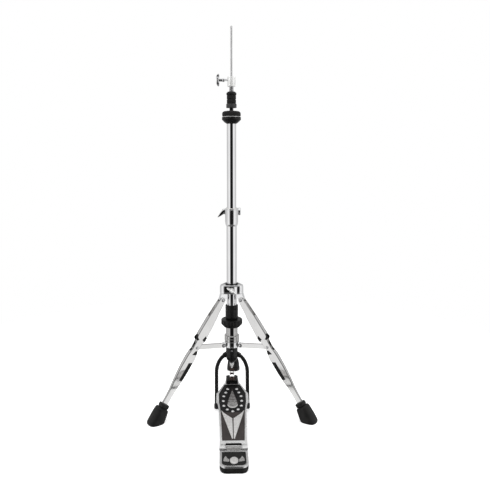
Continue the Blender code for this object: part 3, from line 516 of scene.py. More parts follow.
def threaded(radius, bottom, top, pitch=0.001, bore=0.0):
    """A threaded rod about Z, with tapered ends. It is a sleeve if it has a bore."""
    rows = math.ceil((top - bottom) / pitch * 8)
    outline = [(radius, bottom + (top - bottom) * i / rows) for i in range(rows + 1)]

    def crest(r, angle, z):
        if r < bore + 0.0001:
            return r
        phase = (z / pitch - angle / math.tau) % 1
        depth = 0.35 * pitch * abs(2 * phase - 1)
        ends = min(z - bottom, top - z)
        return r - depth - max(0.0, 0.5 * (0.0008 - ends))

    ends = [(bore, bottom), *outline, (bore, top)]
    return shaped_lathe(ends, crest, SMALL if bore == 0 else MEDIUM, bored=bore > 0)


def superellipse(half_x, half_y, power, steps=32):
    """An oval outline that gets squarer as the power rises from 2."""
    points = []
    for i in range(steps):
        angle = math.tau * i / steps
        c = math.cos(angle)
        s = math.sin(angle)
        x = half_x * math.copysign(abs(c) ** (2 / power), c)
        y = half_y * math.copysign(abs(s) ** (2 / power), s)
        points.append((x, y))
    return points


def smooth_path(values, count):
    """Catmull-Rom samples through rows of numbers."""
    rows = [Vector(row) for row in values]
    padded_rows = [2 * rows[0] - rows[1], *rows, 2 * rows[-1] - rows[-2]]
    samples = []
    spans = len(rows) - 1
    for i in range(count + 1):
        t = spans * i / count
        k = min(int(t), spans - 1)
        f = t - k
        a, b, c, d = padded_rows[k : k + 4]
        bend = 2 * a - 5 * b + 4 * c - d
        twist = 3 * b - a - 3 * c + d
        samples.append(0.5 * (2 * b + (c - a) * f + bend * f * f + twist * f * f * f))
    return samples


def far_end(node, start, window):
    """Middle of the node's vertices that lie farthest from a point, in column space."""
    points = [vert.co - COLUMN for vert in frame["nodes"][node].data.vertices]
    most = max((point - start).length for point in points)
    chosen = [point for point in points if (point - start).length > most - window]
    return sum(chosen, Vector()) / len(chosen)


# --- Tubes and the pull rod ---


def tube_piece(name, node, finish, body):
    radius, bottom, top = extent(node)
    wall = 0.0013
    shape = ring(radius, radius - wall, bottom, top, 0.0007)
    piece(name, shape, finish, body, [node])


def make_tubes():
    tube_piece("base_tube_drawn", "base_tube", "chrome", "base")
    tube_piece("upper_tube_drawn", "upper_tube", "chrome", "upper_column")
    radius, bottom, top = extent("upper_pull_rod")
    nose = arc(0, top - radius, radius, 90, 0, 6)
    outline = [*nose, (radius, bottom + 0.001), (radius - 0.0006, bottom), (0, bottom)]
    upper = lathe(outline, MEDIUM, soften=0)
    piece("upper_rod_ground", upper, "ground_steel", "pull_rod", ["upper_pull_rod"])
    radius, bottom, top = extent("lower_pull_rod")
    lower = joined(
        ring(radius, 0.0033, top - 0.015, top, 0.0003, MEDIUM),
        peg(radius, bottom + 0.021, top - 0.015, 0.0004, MEDIUM),
        threaded(radius, bottom, bottom + 0.0215),
    )
    piece("lower_rod_ground", lower, "bright_steel", "pull_rod", ["lower_pull_rod"])


# --- Cymbal seat ---


def felt_washer(name, node, body, bore, dome):
    """A pressed felt ring with bulging sides, whose top edge rounds off over the dome's height."""
    outer, bottom, top = extent(node)
    edge = 0.0012
    side = [
        (outer - 1.6 * dome, top), (outer - 0.65 * dome, top - 0.18 * dome),
        (outer - 0.18 * dome, top - 0.55 * dome), (outer, top - dome), (outer, bottom + edge),
        (outer - edge, bottom),
    ]
    outline = dense([(bore, bottom), (bore, top), *side, (bore, bottom)], 0.0011)[:-1]
    low = bottom + edge

    def fuzzy(r, angle, z):
        if r < bore + 0.0005 or z < low:
            return r
        wave = math.sin(7 * angle + 900 * z) + math.sin(13 * angle - 1500 * z)
        return r - 0.00006 * (1.0 + 0.5 * wave)

    shape = shaped_lathe(outline, fuzzy, ROUND, bored=True)
    item = piece(name, shape, "black_felt", body, [node], smooth=60)
    return item


def make_seat():
    tube = span("upper_tube", 0)[1]
    outer, bottom, top = extent("seat_cup")
    shoulder = span("upper_tube")[1] + FIT
    bore = 0.0036
    cup = lathe([
        (bore, top - 0.0012), (outer - 0.0035, top - 0.0012), (outer - 0.0025, top), (outer, top),
        (outer, top - 0.0068), (outer - 0.003, top - 0.0102), (tube + 0.005, shoulder + 0.0026),
        (tube + 0.0012, shoulder), (tube - 0.0017, shoulder), (tube - 0.0017, bottom),
        (bore, bottom),
    ], bored=True, soften=0.0009)
    piece("seat_cup_moulded", cup, "black_plastic", "upper_column", ["seat_cup"])
    edge, low, high = extent("seat_washer")
    washer = lathe([
        (0.0052, high - 0.0006), (edge - 0.005, high), (edge, high - 0.0009), (edge, low),
        (edge - 0.005, low + 0.0004), (0.0052, low),
    ], bored=True, soften=0.0003)
    piece("seat_washer_pressed", washer, "satin_nickel", "upper_column", ["seat_washer"])
    felt_washer("seat_felt_pad", "seat_felt", "upper_column", 0.0062, 0.0062)
    tip_top = span("clutch_bottom_nut")[0] - 0.0006
    sleeve = ring(0.0052, bore, span("seat_washer")[0], tip_top, 0.0006, MEDIUM)
    piece("seat_sleeve", sleeve, "black_plastic", "upper_column")


# --- Clutch ---


def paddle(length, width, thickness, bow):
    """A double wing along Z: two flared lobes with dished faces and a thick waist."""
    rings = []
    steps = 40
    for i in range(steps + 1):
        t = -1 + 2 * i / steps
        reach = abs(t)
        tip = math.sqrt(max(0.0, 1 - max(0.0, (reach - 0.62) / 0.38) ** 2))
        flare = 0.62 + 0.38 * math.sin(math.pi * min(1.0, reach / 0.95)) ** 0.8
        half_x = max(0.0004, width / 2 * flare * tip)
        half_y = max(0.0004, thickness / 2 * (1.0 - 0.45 * reach**0.8) * (0.25 + 0.75 * tip))
        dish = 0.22 * math.exp(-(((reach - 0.58) / 0.22) ** 2))
        loop = []
        for x, y in superellipse(half_x, half_y, 2.6):
            hollow = 1 - dish * max(0.0, 1 - (x / half_x) ** 2)
            loop.append((bow * t * t + x, y * hollow, length / 2 * t))
        rings.append(loop)
    return loft(rings)


def wing_bolt(shank, stem_radius, stem, thickness=0.0062):
    """A wing bolt whose tip is at the origin and whose stem and wings lie along -X."""
    wings = moved(paddle(0.033, 0.0088, thickness, 0.002), place(-(shank + stem + 0.002)))
    end = shank + stem
    boss = lathe([
        (0, shank), (stem_radius, shank), (stem_radius, shank + 0.22 * stem),
        (stem_radius * 0.84, shank + 0.32 * stem), (stem_radius * 0.8, end - 0.2 * stem),
        (stem_radius * 0.95, end + 0.001), (0, end + 0.0016),
    ], MEDIUM, soften=0.0008)
    return joined(wings, moved(joined(boss, threaded(0.003, 0.0, shank + 0.001)), TO_X.inverted()))


def make_clutch():
    bottom, top = span("clutch_tube")
    outer = span("clutch_bottom_nut", 0)[1] - 0.003
    neck = 0.0058
    neck_top = bottom + 0.063
    bore = 0.0036
    body = lathe([
        (bore, top), (outer, top), (outer, neck_top + 0.0062), (outer - 0.0007, neck_top + 0.0058),
        (outer - 0.0007, neck_top + 0.005), (outer, neck_top + 0.0046), (outer, neck_top),
        (neck - 0.0008, neck_top), (neck - 0.0008, bottom + 0.0062), (neck - 0.001, bottom),
        (bore, bottom),
    ], bored=True, soften=0.0007)
    turns = threaded(neck, bottom + 0.006, neck_top - 0.0006, bore=neck - 0.0012)
    bolt_z = pivot("clutch_bolt_turn").z
    hole = moved(peg(0.0033, -0.013, -0.002, 0), place(z=bolt_z), TO_X)
    piece(
        "clutch_body_turned", body, "satin_nickel", "clutch", ["clutch_tube"], cuts=[hole],
        smooth=30,
    )
    piece("clutch_thread", turns, "bright_steel", "clutch")

    outer, low, high = extent("clutch_top_nut")
    outline = softened([
        (neck + FIT, high), (outer - 0.004, high), (outer, high - 0.0036), (outer, low),
        (neck + FIT, low),
    ], 0.0006)

    def fluted(r, angle, z):
        return r - (0.00045 * (0.5 + 0.5 * math.cos(18 * angle)) if r > outer - 0.003 else 0)

    nut = shaped_lathe(outline, fluted, 2 * ROUND, bored=True)
    piece("clutch_top_nut_moulded", nut, "black_plastic", "clutch", ["clutch_top_nut"])
    for node in ("clutch_upper_felt", "clutch_lower_felt"):
        felt_washer(f"{node}_pad", node, "clutch", neck + FIT, 0.0016)

    outer, low, high = extent("clutch_bottom_nut")
    outline = dense(
        softened([
            (neck + FIT, high), (outer - 0.0008, high), (outer, high - 0.0008),
            (outer, low + 0.0008), (outer - 0.0008, low), (neck + FIT, low),
            (neck + FIT, high),
        ], 0.0003, closed=False),
        0.0007,
    )[:-1]
    inside = outer - 0.001

    def knurl(r, angle, z):
        if r < inside or not low + 0.0012 < z < high - 0.0012:
            return r
        turns = 40 * angle / math.tau
        slant = (z - low) / 0.0016
        return r - 0.0003 * (abs((turns + slant) % 1 - 0.5) + abs((turns - slant) % 1 - 0.5))

    nut = shaped_lathe(outline, knurl, 3 * ROUND, bored=True)
    piece("clutch_bottom_nut_knurled", nut, "knurled_plastic", "clutch", ["clutch_bottom_nut"])

    tip = (-0.0036, 0, bolt_z)
    bolt = moved(wing_bolt(0.015, 0.005, 0.016, 0.0125), place(*tip))
    piece("clutch_wing_bolt_cast", bolt, "cast_chrome", "clutch_bolt", ["clutch_wing_bolt"])


# --- Height clamp ---


def make_height_clamp():
    bottom, top = span("height_collar")
    tube = span("base_tube", 0)[1]
    bolt = pivot("collar_nut_turn")
    outer = tube + 0.0037
    bore = tube + FIT
    collar = lathe([
        (bore, top), (outer, top), (outer, top - 0.0022), (outer - 0.0006, top - 0.0026),
        (outer - 0.0006, top - 0.0034), (outer, top - 0.0038), (outer, bottom + 0.012),
        (outer - 0.0008, bottom + 0.0055), (outer - 0.0026, bottom), (bore, bottom),
    ], bored=True, soften=0.0012)
    slit = slab(
        [(-0.001, 0.012), (0.001, 0.012), (0.001, 0.034), (-0.001, 0.034)], top - 0.031, top + 0.001
    )
    piece("height_collar_cast", collar, "cast_chrome", "base", ["height_collar"], cuts=[slit])
    profile = softened([
        (0.016, top), (0.029, top), (0.031, bolt.z + 0.004), (0.031, bolt.z - 0.004),
        (0.027, bolt.z - 0.0105), (0.016, bolt.z - 0.0105),
    ], 0.003, 5)
    for side, name in SIDES:
        low, high = sorted((side * 0.001, side * 0.015))
        ear = moved(slab(profile, low, high), SIDEWAYS)
        hole = moved(peg(0.0043, -0.02, 0.02, 0), place(0, bolt.y, bolt.z), TO_X)
        piece(f"height_collar_ear_{name}", ear, "cast_chrome", "base", bevel=0.001, cuts=[hole])

    low, high = span("collar_bush")
    bush = ring(outer - 0.0037, span("upper_tube", 0)[1] + FIT, low, high, 0.0004)
    piece("collar_bush_moulded", bush, "white_nylon", "base", ["collar_bush"])

    head = 0.0153
    cap = joined(
        lathe([
            (0, 0.0256), (0.003, 0.026), (0.0088, 0.0258), (0.0105, 0.0242), (0.0105, 0.0192),
            (0.0094, 0.0186), (0.0094, 0.0178), (0.0105, 0.0172), (0.0105, head), (0, head),
        ], soften=0.0006),
        peg(0.004, -0.0212, head + 0.0005, 0.0004, MEDIUM),
    )
    bolt_shape = moved(cap, place(0, bolt.y, bolt.z), TO_X)
    piece("collar_bolt_turned", bolt_shape, "chrome", "base", ["collar_bolt"])

    hub = lathe(
        [
            (0.0044, -head), (0.0078, -head), (0.0078, -0.0208), (0.007, -0.0226), (0.007, -0.0244),
            (0.0056, -0.0262), (0, -0.0264), (0, -0.0222), (0.0044, -0.0222),
        ][::-1], soften=0,
    )
    hub = moved(hub, TO_X)
    stations = [
        (-0.0172, 0.0045, 0.0032, 0.007), (-0.0205, 0.0016, 0.0047, 0.0071),
        (-0.025, -0.0026, 0.005, 0.0071), (-0.03, -0.0074, 0.004, 0.007),
        (-0.0345, -0.0118, 0.0022, 0.0068), (-0.0385, -0.0156, 0.0008, 0.006),
    ]
    rings = []
    for x, z, half_height, half_width in smooth_path(stations, 32):
        loop = []
        for across, up in superellipse(half_width, half_height, 7.0):
            dish = 0.3 * max(0.0, 1 - (across / half_width) ** 2) if up > 0 else 0
            up *= 1 - dish
            loop.append((x - 0.7 * up, across, z + 0.7 * up))
        rings.append(loop)
    lever = joined(hub, loft(rings))
    piece(
        "height_lever_cast", moved(lever, place(0, bolt.y, bolt.z)), "cast_chrome", "collar_nut",
        ["collar_wing_nut"],
    )


# --- Tripod ---


def leg_azimuth(name):
    """The direction of a leg around the column, in radians."""
    point = pivot(f"{name}_leg_hinge")
    return math.atan2(point.y, point.x)


def make_hub():
    height = 0.025
    bottom = pivot("hub_bolt_turn").z - height / 2
    top = bottom + height
    tube = span("base_tube", 0)[1]
    bore = tube + 0.0025
    lobe_radius = 0.036
    flat_radius = 0.026
    turns = [leg_azimuth(name) for name in LEGS]
    angles = [math.tau * i / (2 * ROUND) for i in range(2 * ROUND)]

    def outline(inset):
        points = []
        for angle in angles:
            lobe = (0.5 + 0.5 * math.cos(3 * (angle - turns[1]))) ** 1.5
            radius = flat_radius + (lobe_radius - flat_radius) * lobe - inset
            points.append((radius * math.cos(angle), radius * math.sin(angle)))
        return points

    def hole(radius):
        return [(radius * math.cos(a), radius * math.sin(a)) for a in angles]

    levels = [
        (hole(bore), bottom), (outline(0.0024), bottom), (outline(0.0008), bottom + 0.0008),
        (outline(0.0), bottom + 0.003), (outline(0.0), top - 0.0052),
        (outline(0.0007), top - 0.003), (outline(0.001), top - 0.0012),
        (outline(0.0022), top - 0.0002), (outline(0.0034), top), (outline(0.005), top),
        (outline(0.0058), top - 0.0012), (hole(bore + 0.0012), top - 0.0012),
        (hole(bore), top - 0.002),
    ]
    rings = [[(x, y, z) for x, y in loop] for loop, z in levels]
    body = loft([*rings, rings[0]], closed_ends=False)
    bmesh.ops.remove_doubles(body, verts=body.verts, dist=1e-7)
    piece("tripod_hub_cast", body, "cast_chrome", "tripod_hub", ["tripod_hub"], smooth=40)

    lug_half = 0.0045
    root = 0.0176
    leg_pivot = pivot("back_leg_hinge")
    end = (leg_pivot.y, leg_pivot.z)
    round_end = 0.008
    profile = [(root, bottom + 0.003), (root, end[1] + 0.004)]
    profile += arc(end[0], end[1], round_end, 180, 360, 20)
    profile += [(end[0] + round_end, end[1] + 0.005), (lobe_radius - 0.001, bottom + 0.003)]
    profile = softened(profile, 0.0015)
    for name, angle in zip(LEGS, turns):
        to_leg = Matrix.Rotation(angle, 4, "Z")
        lug = moved(slab(profile, -lug_half, lug_half), to_leg, UPRIGHT)
        pin = moved(peg(0.0032, -0.008, 0.008, 0), to_leg, place(end[0], 0, end[1]), TO_Y)
        piece(f"{name}_hub_lug", lug, "cast_chrome", "tripod_hub", bevel=0.0008, cuts=[pin])

    flange, low, high = extent("hub_bush")
    bush = lathe([
        (tube + FIT, high), (flange, high), (flange, top + FIT),
        (bore - FIT, top + FIT), (bore - FIT, low), (tube + FIT, low),
    ], bored=True, soften=0.0003)
    piece("hub_bush_moulded", bush, "black_plastic", "tripod_hub", ["hub_bush"])

    jaw = [(0.004, -0.02), *arc(0, -0.0075, 0.0235, -78, -22, 24), (0.017, -0.014)]
    jaw = slab(softened(jaw, 0.0006), bottom + 0.0016, top - 0.003)
    piece("tripod_hub_jaw", jaw, "cast_chrome", "tripod_hub", bevel=0.0008)

    tip = pivot("hub_bolt_turn")
    sweep = turn(-60, "X")
    bolt = moved(wing_bolt(0.0125, 0.0055, 0.006), place(*tip), turn(90, "Z"), sweep)
    piece("hub_wing_bolt_cast", bolt, "satin_nickel", "hub_bolt", ["hub_wing_bolt"])
    boss = moved(ring(0.0075, 0.0034, -0.03, -0.024, 0.0008, MEDIUM), place(z=tip.z), TO_Y)
    piece("hub_bolt_boss", boss, "cast_chrome", "tripod_hub")


STRIP_THICKNESS = 0.0022
STRIP_BEND = 0.178  # how far below the top rivet the strips start to close up
WAIST = 0.1495  # how far below it the brace joins
STRIP_ROWS = 136
STRIP_WIDTHS = [  # distance below the rivet, half width
    (0.003, 0.008), (0.03, 0.0094), (0.04, 0.01), (0.055, 0.0116), (0.08, 0.013), (0.105, 0.0139),
    (0.118, 0.0142), (0.124, 0.0122), (0.13, 0.01), (0.143, 0.0086), (0.158, 0.0086),
    (0.1655, 0.0105), (0.178, 0.012), (0.195, 0.0126), (0.225, 0.0124), (0.25, 0.0107),
    (0.262, 0.0098), (0.275, 0.0084), (0.29, 0.0074), (0.323, 0.0072), (0.35, 0.007),
]
STRIP_OUTER_EDGE = 0.0019  # how much further the strips reach on the side away from the column


def outer_half(down, half):
    """Half width of a strip towards its outer edge."""
    return half + STRIP_OUTER_EDGE * min(1.0, max(0.0, down) / 0.03)


def strip_offset(down, spread):
    """How far the middle of a strip is from the middle of the leg, this far below the rivet."""
    closest = STRIP_THICKNESS / 2 + 0.0003
    turned_in = max(0.0, (down - STRIP_BEND) / (STRIP_WIDTHS[-1][0] - STRIP_BEND))
    return spread + (closest - spread) * turned_in


def strip_shape(spread):
    """A leg strip with a crowned face and rolled edges, down -Z, wide along X, on the +Y side."""
    head = STRIP_WIDTHS[0][1]
    rows = []
    for i in range(9):
        angle = math.radians(4 + 86 * i / 8)
        rows.append((-head * math.cos(angle), head * math.sin(angle)))
    rows += smooth_path(STRIP_WIDTHS, STRIP_ROWS)
    count = 18
    crown = 0.00022
    roll = 0.0007
    rings = []
    for down, half in rows:
        out = strip_offset(down, spread) + STRIP_THICKNESS / 2
        outer = []
        inner = []
        for k in range(count + 1):
            u = math.sin(math.pi / 2 * (-1 + 2 * k / count))
            raised = crown * (1 - u * u) - roll * abs(u) ** 24
            reach = outer_half(down, half) if u > 0 else half
            outer.append((u * reach, out + raised, -down))
            inner.append((u * (reach - 0.0002), out - STRIP_THICKNESS, -down))
        rings.append(outer + inner[::-1])
    return loft(rings)


def prism(outline, depth):
    """A block through the leg, from its outline across (x) and down the leg."""
    return moved(slab([(x, -down) for x, down in outline], -depth, depth), UPRIGHT)


def core_shape(outline, spread, steps):
    """The two fillers set into the strips, from (down, inner edge, outer edge) rows."""
    rings = []
    for down, low, high in smooth_path(outline, steps):
        face = strip_offset(down, spread) + STRIP_THICKNESS / 2
        near = face - STRIP_THICKNESS + 0.0001
        far = face - 0.0004
        loop = softened([(low, far), (high, far), (high, near), (low, near)], 0.0003)
        rings.append([(x, y, -down) for x, y in loop])
    filler = loft(rings)
    return joined(filler, moved(filler.copy(), Matrix.Diagonal((1, -1, 1, 1))))


def web_shape(first, last, spread):
    """The pressed web that joins the two strips along their outer edges."""
    rings = []
    for down, half in smooth_path(STRIP_WIDTHS, STRIP_ROWS):
        if not first <= down <= last:
            continue
        edge = outer_half(down, half)
        grip = strip_offset(down, spread)
        rings.append([
            (edge - 0.0019, grip, -down), (edge - 0.0007, grip, -down),
            (edge - 0.0003, 0.6 * grip, -down), (edge - 0.0003, -0.6 * grip, -down),
            (edge - 0.0007, -grip, -down), (edge - 0.0019, -grip, -down),
        ])
    return loft(rings)


def make_legs():
    for name in LEGS:
        start = pivot(f"{name}_leg_hinge")
        azimuth = leg_azimuth(name)
        ends = [far_end(f"{name}_leg_strip_{side}", start, 0.0015) for side in ("left", "right")]
        end = (ends[0] + ends[1]) / 2
        tilt = math.atan2(math.hypot(end.x, end.y) - math.hypot(start.x, start.y), start.z - end.z)
        to_side = Matrix.Rotation(azimuth, 4, "Z")
        to_leg = place(*start) @ to_side @ Matrix.Rotation(-tilt, 4, "Y")
        from_world = (place(*COLUMN) @ to_leg).inverted()
        verts = frame["nodes"][f"{name}_leg_strip_left"].data.vertices
        outer_face = max(abs((from_world @ vert.co).y) for vert in verts)
        make_leg(name, to_leg, place(*start) @ to_side, outer_face - STRIP_THICKNESS / 2)
        make_boot(name, to_leg)


def make_leg(name, to_leg, at_hinge, spread):
    body = f"{name}_leg"
    cutouts = [
        [(-0.015, 0.1575), (-0.0018, 0.158), (0.003, 0.1725), (-0.009, 0.169), (-0.015, 0.168)],
        [(-0.015, 0.1925), (-0.0092, 0.1925), (-0.0004, 0.1965), (-0.0004, 0.25), (-0.015, 0.25)],
        [(-0.0073, 0.1095), (-0.0028, 0.124), (-0.011, 0.1265), (-0.016, 0.118)],
        [(0.02, 0.1185), (0.0057, 0.1275), (0.01, 0.131), (0.02, 0.13)],
    ]
    for side, sign in (("left", 1), ("right", -1)):
        strip = moved(strip_shape(spread), to_leg, Matrix.Diagonal((1, sign, 1, 1)))
        cuts = [moved(prism(outline, 0.02), to_leg) for outline in cutouts]
        node = f"{name}_leg_strip_{side}"
        piece(
            f"{name}_leg_pressing_{side}", strip, "pressed_chrome", body, [node], cuts=cuts,
            smooth=24,
        )
    knee = [
        (0.106, -0.01, 0.008), (0.11, -0.0134, 0.0135), (0.118, -0.014, 0.016),
        (0.124, -0.0138, 0.0174), (0.1285, -0.0112, 0.016), (0.1325, -0.008, 0.009),
    ]
    toe = [
        (0.156, -0.007, 0.003), (0.164, -0.0098, 0.005), (0.174, -0.0114, 0.005),
        (0.195, -0.0124, 0.004), (0.225, -0.0122, 0.004), (0.248, -0.0108, 0.004),
        (0.254, -0.008, 0.002),
    ]
    for label, first, last in (("upper", 0.056, 0.116), ("lower", 0.164, 0.321)):
        web = moved(web_shape(first, last, spread), to_leg)
        piece(f"{name}_leg_web_{label}", web, "pressed_chrome", body, smooth=30)
    for label, rows in (("upper", knee), ("lower", toe)):
        filler = moved(core_shape(rows, spread, 40), to_leg)
        piece(f"{name}_leg_filler_{label}", filler, "black_plastic", body, smooth=50)

    grip = spread + STRIP_THICKNESS / 2 + 0.0004
    head = [(0, 0.0022), (0.0022, 0.002), (0.0044, 0.0011), (0.0052, 0), (0.0052, -0.0008)]
    rivet = joined(both_ends([*head, (0, -0.0008)], grip), peg(0.003, -grip, grip))
    piece(
        f"{name}_leg_rivet_formed", moved(rivet, at_hinge, TO_Y), "bright_steel", "tripod_hub",
        [f"{name}_leg_rivet"],
    )
    inner = 0.0046
    head = [(0, 0.0018), (0.003, 0.0014), (0.0042, 0), (0.0042, -0.001), (0, -0.001)]
    joint = joined(
        both_ends(head, grip), peg(0.0024, -grip, -inner, 0), peg(0.0024, inner, grip, 0)
    )
    joint = moved(joint, to_leg, place(0, 0, -WAIST), TO_Y)
    piece(f"{name}_joint_rivet", joint, "bright_steel", body)


def both_ends(outline, grip, soften=0.0004):
    """A turned rivet head at both ends of its grip, about Z."""
    head = lathe(outline, MEDIUM, soften=soften)
    twin = head.copy()
    return joined(moved(head, place(z=grip)), moved(twin, place(z=-grip), turn(180, "X")))


def make_boot(name, to_leg):
    stations = [
        (0.323, 0.0, 0.0126), (0.3236, 0.0, 0.0136), (0.328, 0.0, 0.0138), (0.3316, 0.0, 0.0137),
        (0.3324, 0.0, 0.0126), (0.3334, 0.0, 0.0121), (0.3345, 0.0, 0.0124), (0.3352, 0.0, 0.015),
        (0.3366, 0.0, 0.017), (0.342, 0.0, 0.0183), (0.356, -0.001, 0.0198),
        (0.37, -0.0022, 0.0208), (0.38, -0.0029, 0.0212), (0.386, -0.0034, 0.021),
        (0.391, -0.0048, 0.0192), (0.395, -0.006, 0.016), (0.4, -0.007, 0.012),
    ]
    rings = []
    for down, shift, half in smooth_path(stations, 96):
        outline = superellipse(half, half, 2.7, 72)
        rings.append([(x + shift, y, -down) for x, y in outline])
    boot = moved(loft(rings), to_leg)
    floor = box_shape((-0.4, -0.4, -0.1), (0.4, 0.4, 0.0))
    node = f"{name}_leg_foot"
    piece(f"{name}_boot", boot, "black_rubber", f"{name}_leg", [node], cuts=[floor], smooth=40)


def make_braces():
    start = pivot("back_brace_hinge")
    middle_z = start.z
    tube = 0.017
    collar = ring(0.021, tube + FIT, middle_z - 0.0083, middle_z + 0.0086, 0.0012)
    piece("brace_collar_cast", collar, "cast_chrome", "base", ["brace_hub"])
    radius = math.hypot(start.x, start.y)
    lug = [(0.019, -0.0083), (radius, -0.0083)]
    lug += arc(radius, 0, 0.0081, -80, 80, 20)
    lug += [(radius, 0.0086), (0.019, 0.0086)]
    end = 0.0065
    half = 0.0043
    inner = half - 0.0015
    for name in LEGS:
        azimuth = leg_azimuth(name)
        to_side = Matrix.Rotation(azimuth, 4, "Z")
        pin = moved(peg(0.0028, -0.006, 0.006, 0), to_side, place(radius, 0, middle_z), TO_Y)
        shape = moved(slab(lug, -0.0025, 0.0025), to_side, place(z=middle_z), UPRIGHT)
        piece(f"{name}_brace_lug", shape, "cast_chrome", "base", bevel=0.0006, cuts=[pin])

        point = pivot(f"{name}_brace_hinge")
        tip = far_end(f"{name}_brace", point, 0.0004)
        length = (tip - point).length - end
        rise = math.atan2(tip.z - point.z, math.hypot(tip.x, tip.y) - radius)
        to_brace = place(*point) @ to_side @ Matrix.Rotation(-rise, 4, "Y")
        side = arc(0, 0, end, 90, 270, 20) + arc(length, 0, end, -90, 90, 20)
        bar = slab(side, -half, half)
        channel = box_shape((-0.008, -inner, -0.008), (length + 0.008, inner, 0.005))
        fork = box_shape((-0.008, -inner, 0.004), (0.0105, inner, 0.008))
        joint = box_shape((length - 0.008, -inner, 0.004), (length + 0.008, inner, 0.008))
        hole = moved(peg(0.0028, -0.01, 0.01, 0), TO_Y)
        cuts = [moved(cut, to_brace) for cut in (channel, fork, joint, hole)]
        bar = moved(bar, to_brace, UPRIGHT)
        piece(
            f"{name}_brace_pressed", bar, "pressed_chrome", f"{name}_brace", [f"{name}_brace"],
            bevel=0.0006, cuts=cuts,
        )
        head = [(0, 0.0014), (0.0026, 0.0011), (0.0042, 0), (0.0042, -0.0006), (0, -0.0006)]
        washer = both_ends([(0, 0.0007), (0.0056, 0.0007), (0.0056, 0.0001), (0, 0.0001)], half)
        washer = moved(washer, place(*point), to_side, TO_Y)
        piece(f"{name}_brace_washer", washer, "black_plastic", f"{name}_brace")
        grip = half + 0.0009
        rivet = joined(both_ends(head, grip, 0.0003), peg(0.0025, -grip, grip))
        piece(
            f"{name}_brace_rivet_formed", moved(rivet, place(*point), to_side, TO_Y),
            "bright_steel", "base", [f"{name}_brace_rivet"],
        )


def box_shape(low, high):
    """A box between two corners."""
    low = Vector(low)
    high = Vector(high)
    shape = bmesh.new()
    size = Matrix.Diagonal((*(high - low), 1.0))
    bmesh.ops.create_cube(shape, size=1.0, matrix=Matrix.Translation((low + high) / 2) @ size)
    return shape


# --- Spring unit ---


def make_spring_unit():
    tube = span("base_tube", 0)[1]
    outer, low, high = extent("spring_housing")
    housing = lathe([
        (tube + FIT, high), (outer - 0.0012, high), (outer, high - 0.001),
        (outer, high - 0.0085), (outer - 0.0006, high - 0.0089), (outer - 0.0006, high - 0.0097),
        (outer, high - 0.0101), (outer, low + 0.006), (outer - 0.0008, low + 0.001),
        (outer - 0.0018, low), (0.0133, low), (0.0133, low + 0.021), (0.0055, low + 0.021),
        (0.0055, high - 0.0108), (tube + FIT, high - 0.0108),
    ], bored=True, soften=0.0007)
    piece("spring_housing_moulded", housing, "black_plastic", "base", ["spring_housing"])

    outer, low, high = extent("tension_knob")
    bore = 0.0133
    outline = softened([
        (bore, high), (outer - 0.004, high), (outer - 0.001, high - 0.0008), (outer, high - 0.003),
        (outer, high - 0.0128), (outer - 0.0012, high - 0.015), (outer - 0.004, high - 0.0165),
        (outer - 0.0056, low + 0.003), (outer - 0.008, low + 0.0008), (outer - 0.0105, low),
        (bore, low),
    ], 0.0008)
    rim = outer - 0.004

    def grips(r, angle, z):
        if r < rim or z < high - 0.015:
            return r
        deep = min(1.0, (high - 0.0008 - z) / 0.0015) if z > high - 0.0023 else 1.0
        wave = max(0.0, math.cos(14 * angle)) ** 1.2
        return r - 0.0016 * wave * max(0.0, deep)

    knob = shaped_lathe(outline, grips, 4 * ROUND, bored=True)
    piece("tension_knob_moulded", knob, "black_plastic", "tension_knob", ["tension_knob"])

    radius = 0.017
    ring_outer, low, high = extent("spring_tube")
    shoulder = span("tension_knob")[0] - FIT
    ring_low = low + 0.0177
    ring_high = ring_low + 0.0183
    tube_shape = lathe([
        (0.0116, high), (0.013, high), (0.013, shoulder), (radius, shoulder), (radius, ring_high),
        (ring_outer - 0.0012, ring_high), (ring_outer, ring_high - 0.0016),
        (ring_outer, ring_low + 0.01), (ring_outer - 0.0007, ring_low + 0.0096),
        (ring_outer - 0.0007, ring_low + 0.0086), (ring_outer, ring_low + 0.0082),
        (ring_outer, ring_low), (radius, ring_low), (radius, low), (0.0048, low),
        (0.0048, low + 0.004), (0.015, low + 0.004), (0.015, shoulder - 0.003),
        (0.0116, shoulder - 0.003),
    ], bored=True, soften=0.0006)
    piece("spring_tube_turned", tube_shape, "smoked_chrome", "base", ["spring_tube"])


# --- Frame under the spring unit ---


RAKE = 0.044  # how far the frame rods lean towards the player at the floor
RAKE_TOP = 0.152  # height at which the lean starts
ARCH_LOW = 0.098  # height at which the straight parts pass into the arch
ARCH_RISE = 0.053
ROD_FOOT_Z = 0.006


def make_yoke():
    low, high = span("frame_yoke")
    waist = 0.017
    yoke = lathe([
        (0.0048, high), (waist, high), (waist, high - 0.0197), (waist + 0.0015, high - 0.0225),
        (waist + 0.0015, high - 0.0287), (waist - 0.002, high - 0.0382), (0.0095, high - 0.0447),
        (0.008, low), (0.0048, low),
    ], bored=True, soften=0.002)
    screw = middle("yoke_screw") - COLUMN
    bore = moved(peg(0.003, -0.022, -0.01, 0), place(z=screw.z), TO_Y)
    piece("frame_yoke_cast", yoke, "black_paint", "base", ["frame_yoke"], cuts=[bore], smooth=40)
    socket = [(0, 0.004), (0.0011, 0.004), (0.0011, 0.0054), (0.0021, 0.005)]
    cap = lathe([*socket, (0.0024, 0.004), (0.0024, 0), (0, 0)], MEDIUM, soften=0.0002)
    at_screw = moved(cap, place(0, -0.0135, screw.z), TO_Y.inverted())
    piece("yoke_screw_socket", at_screw, "bright_steel", "base", ["yoke_screw"])


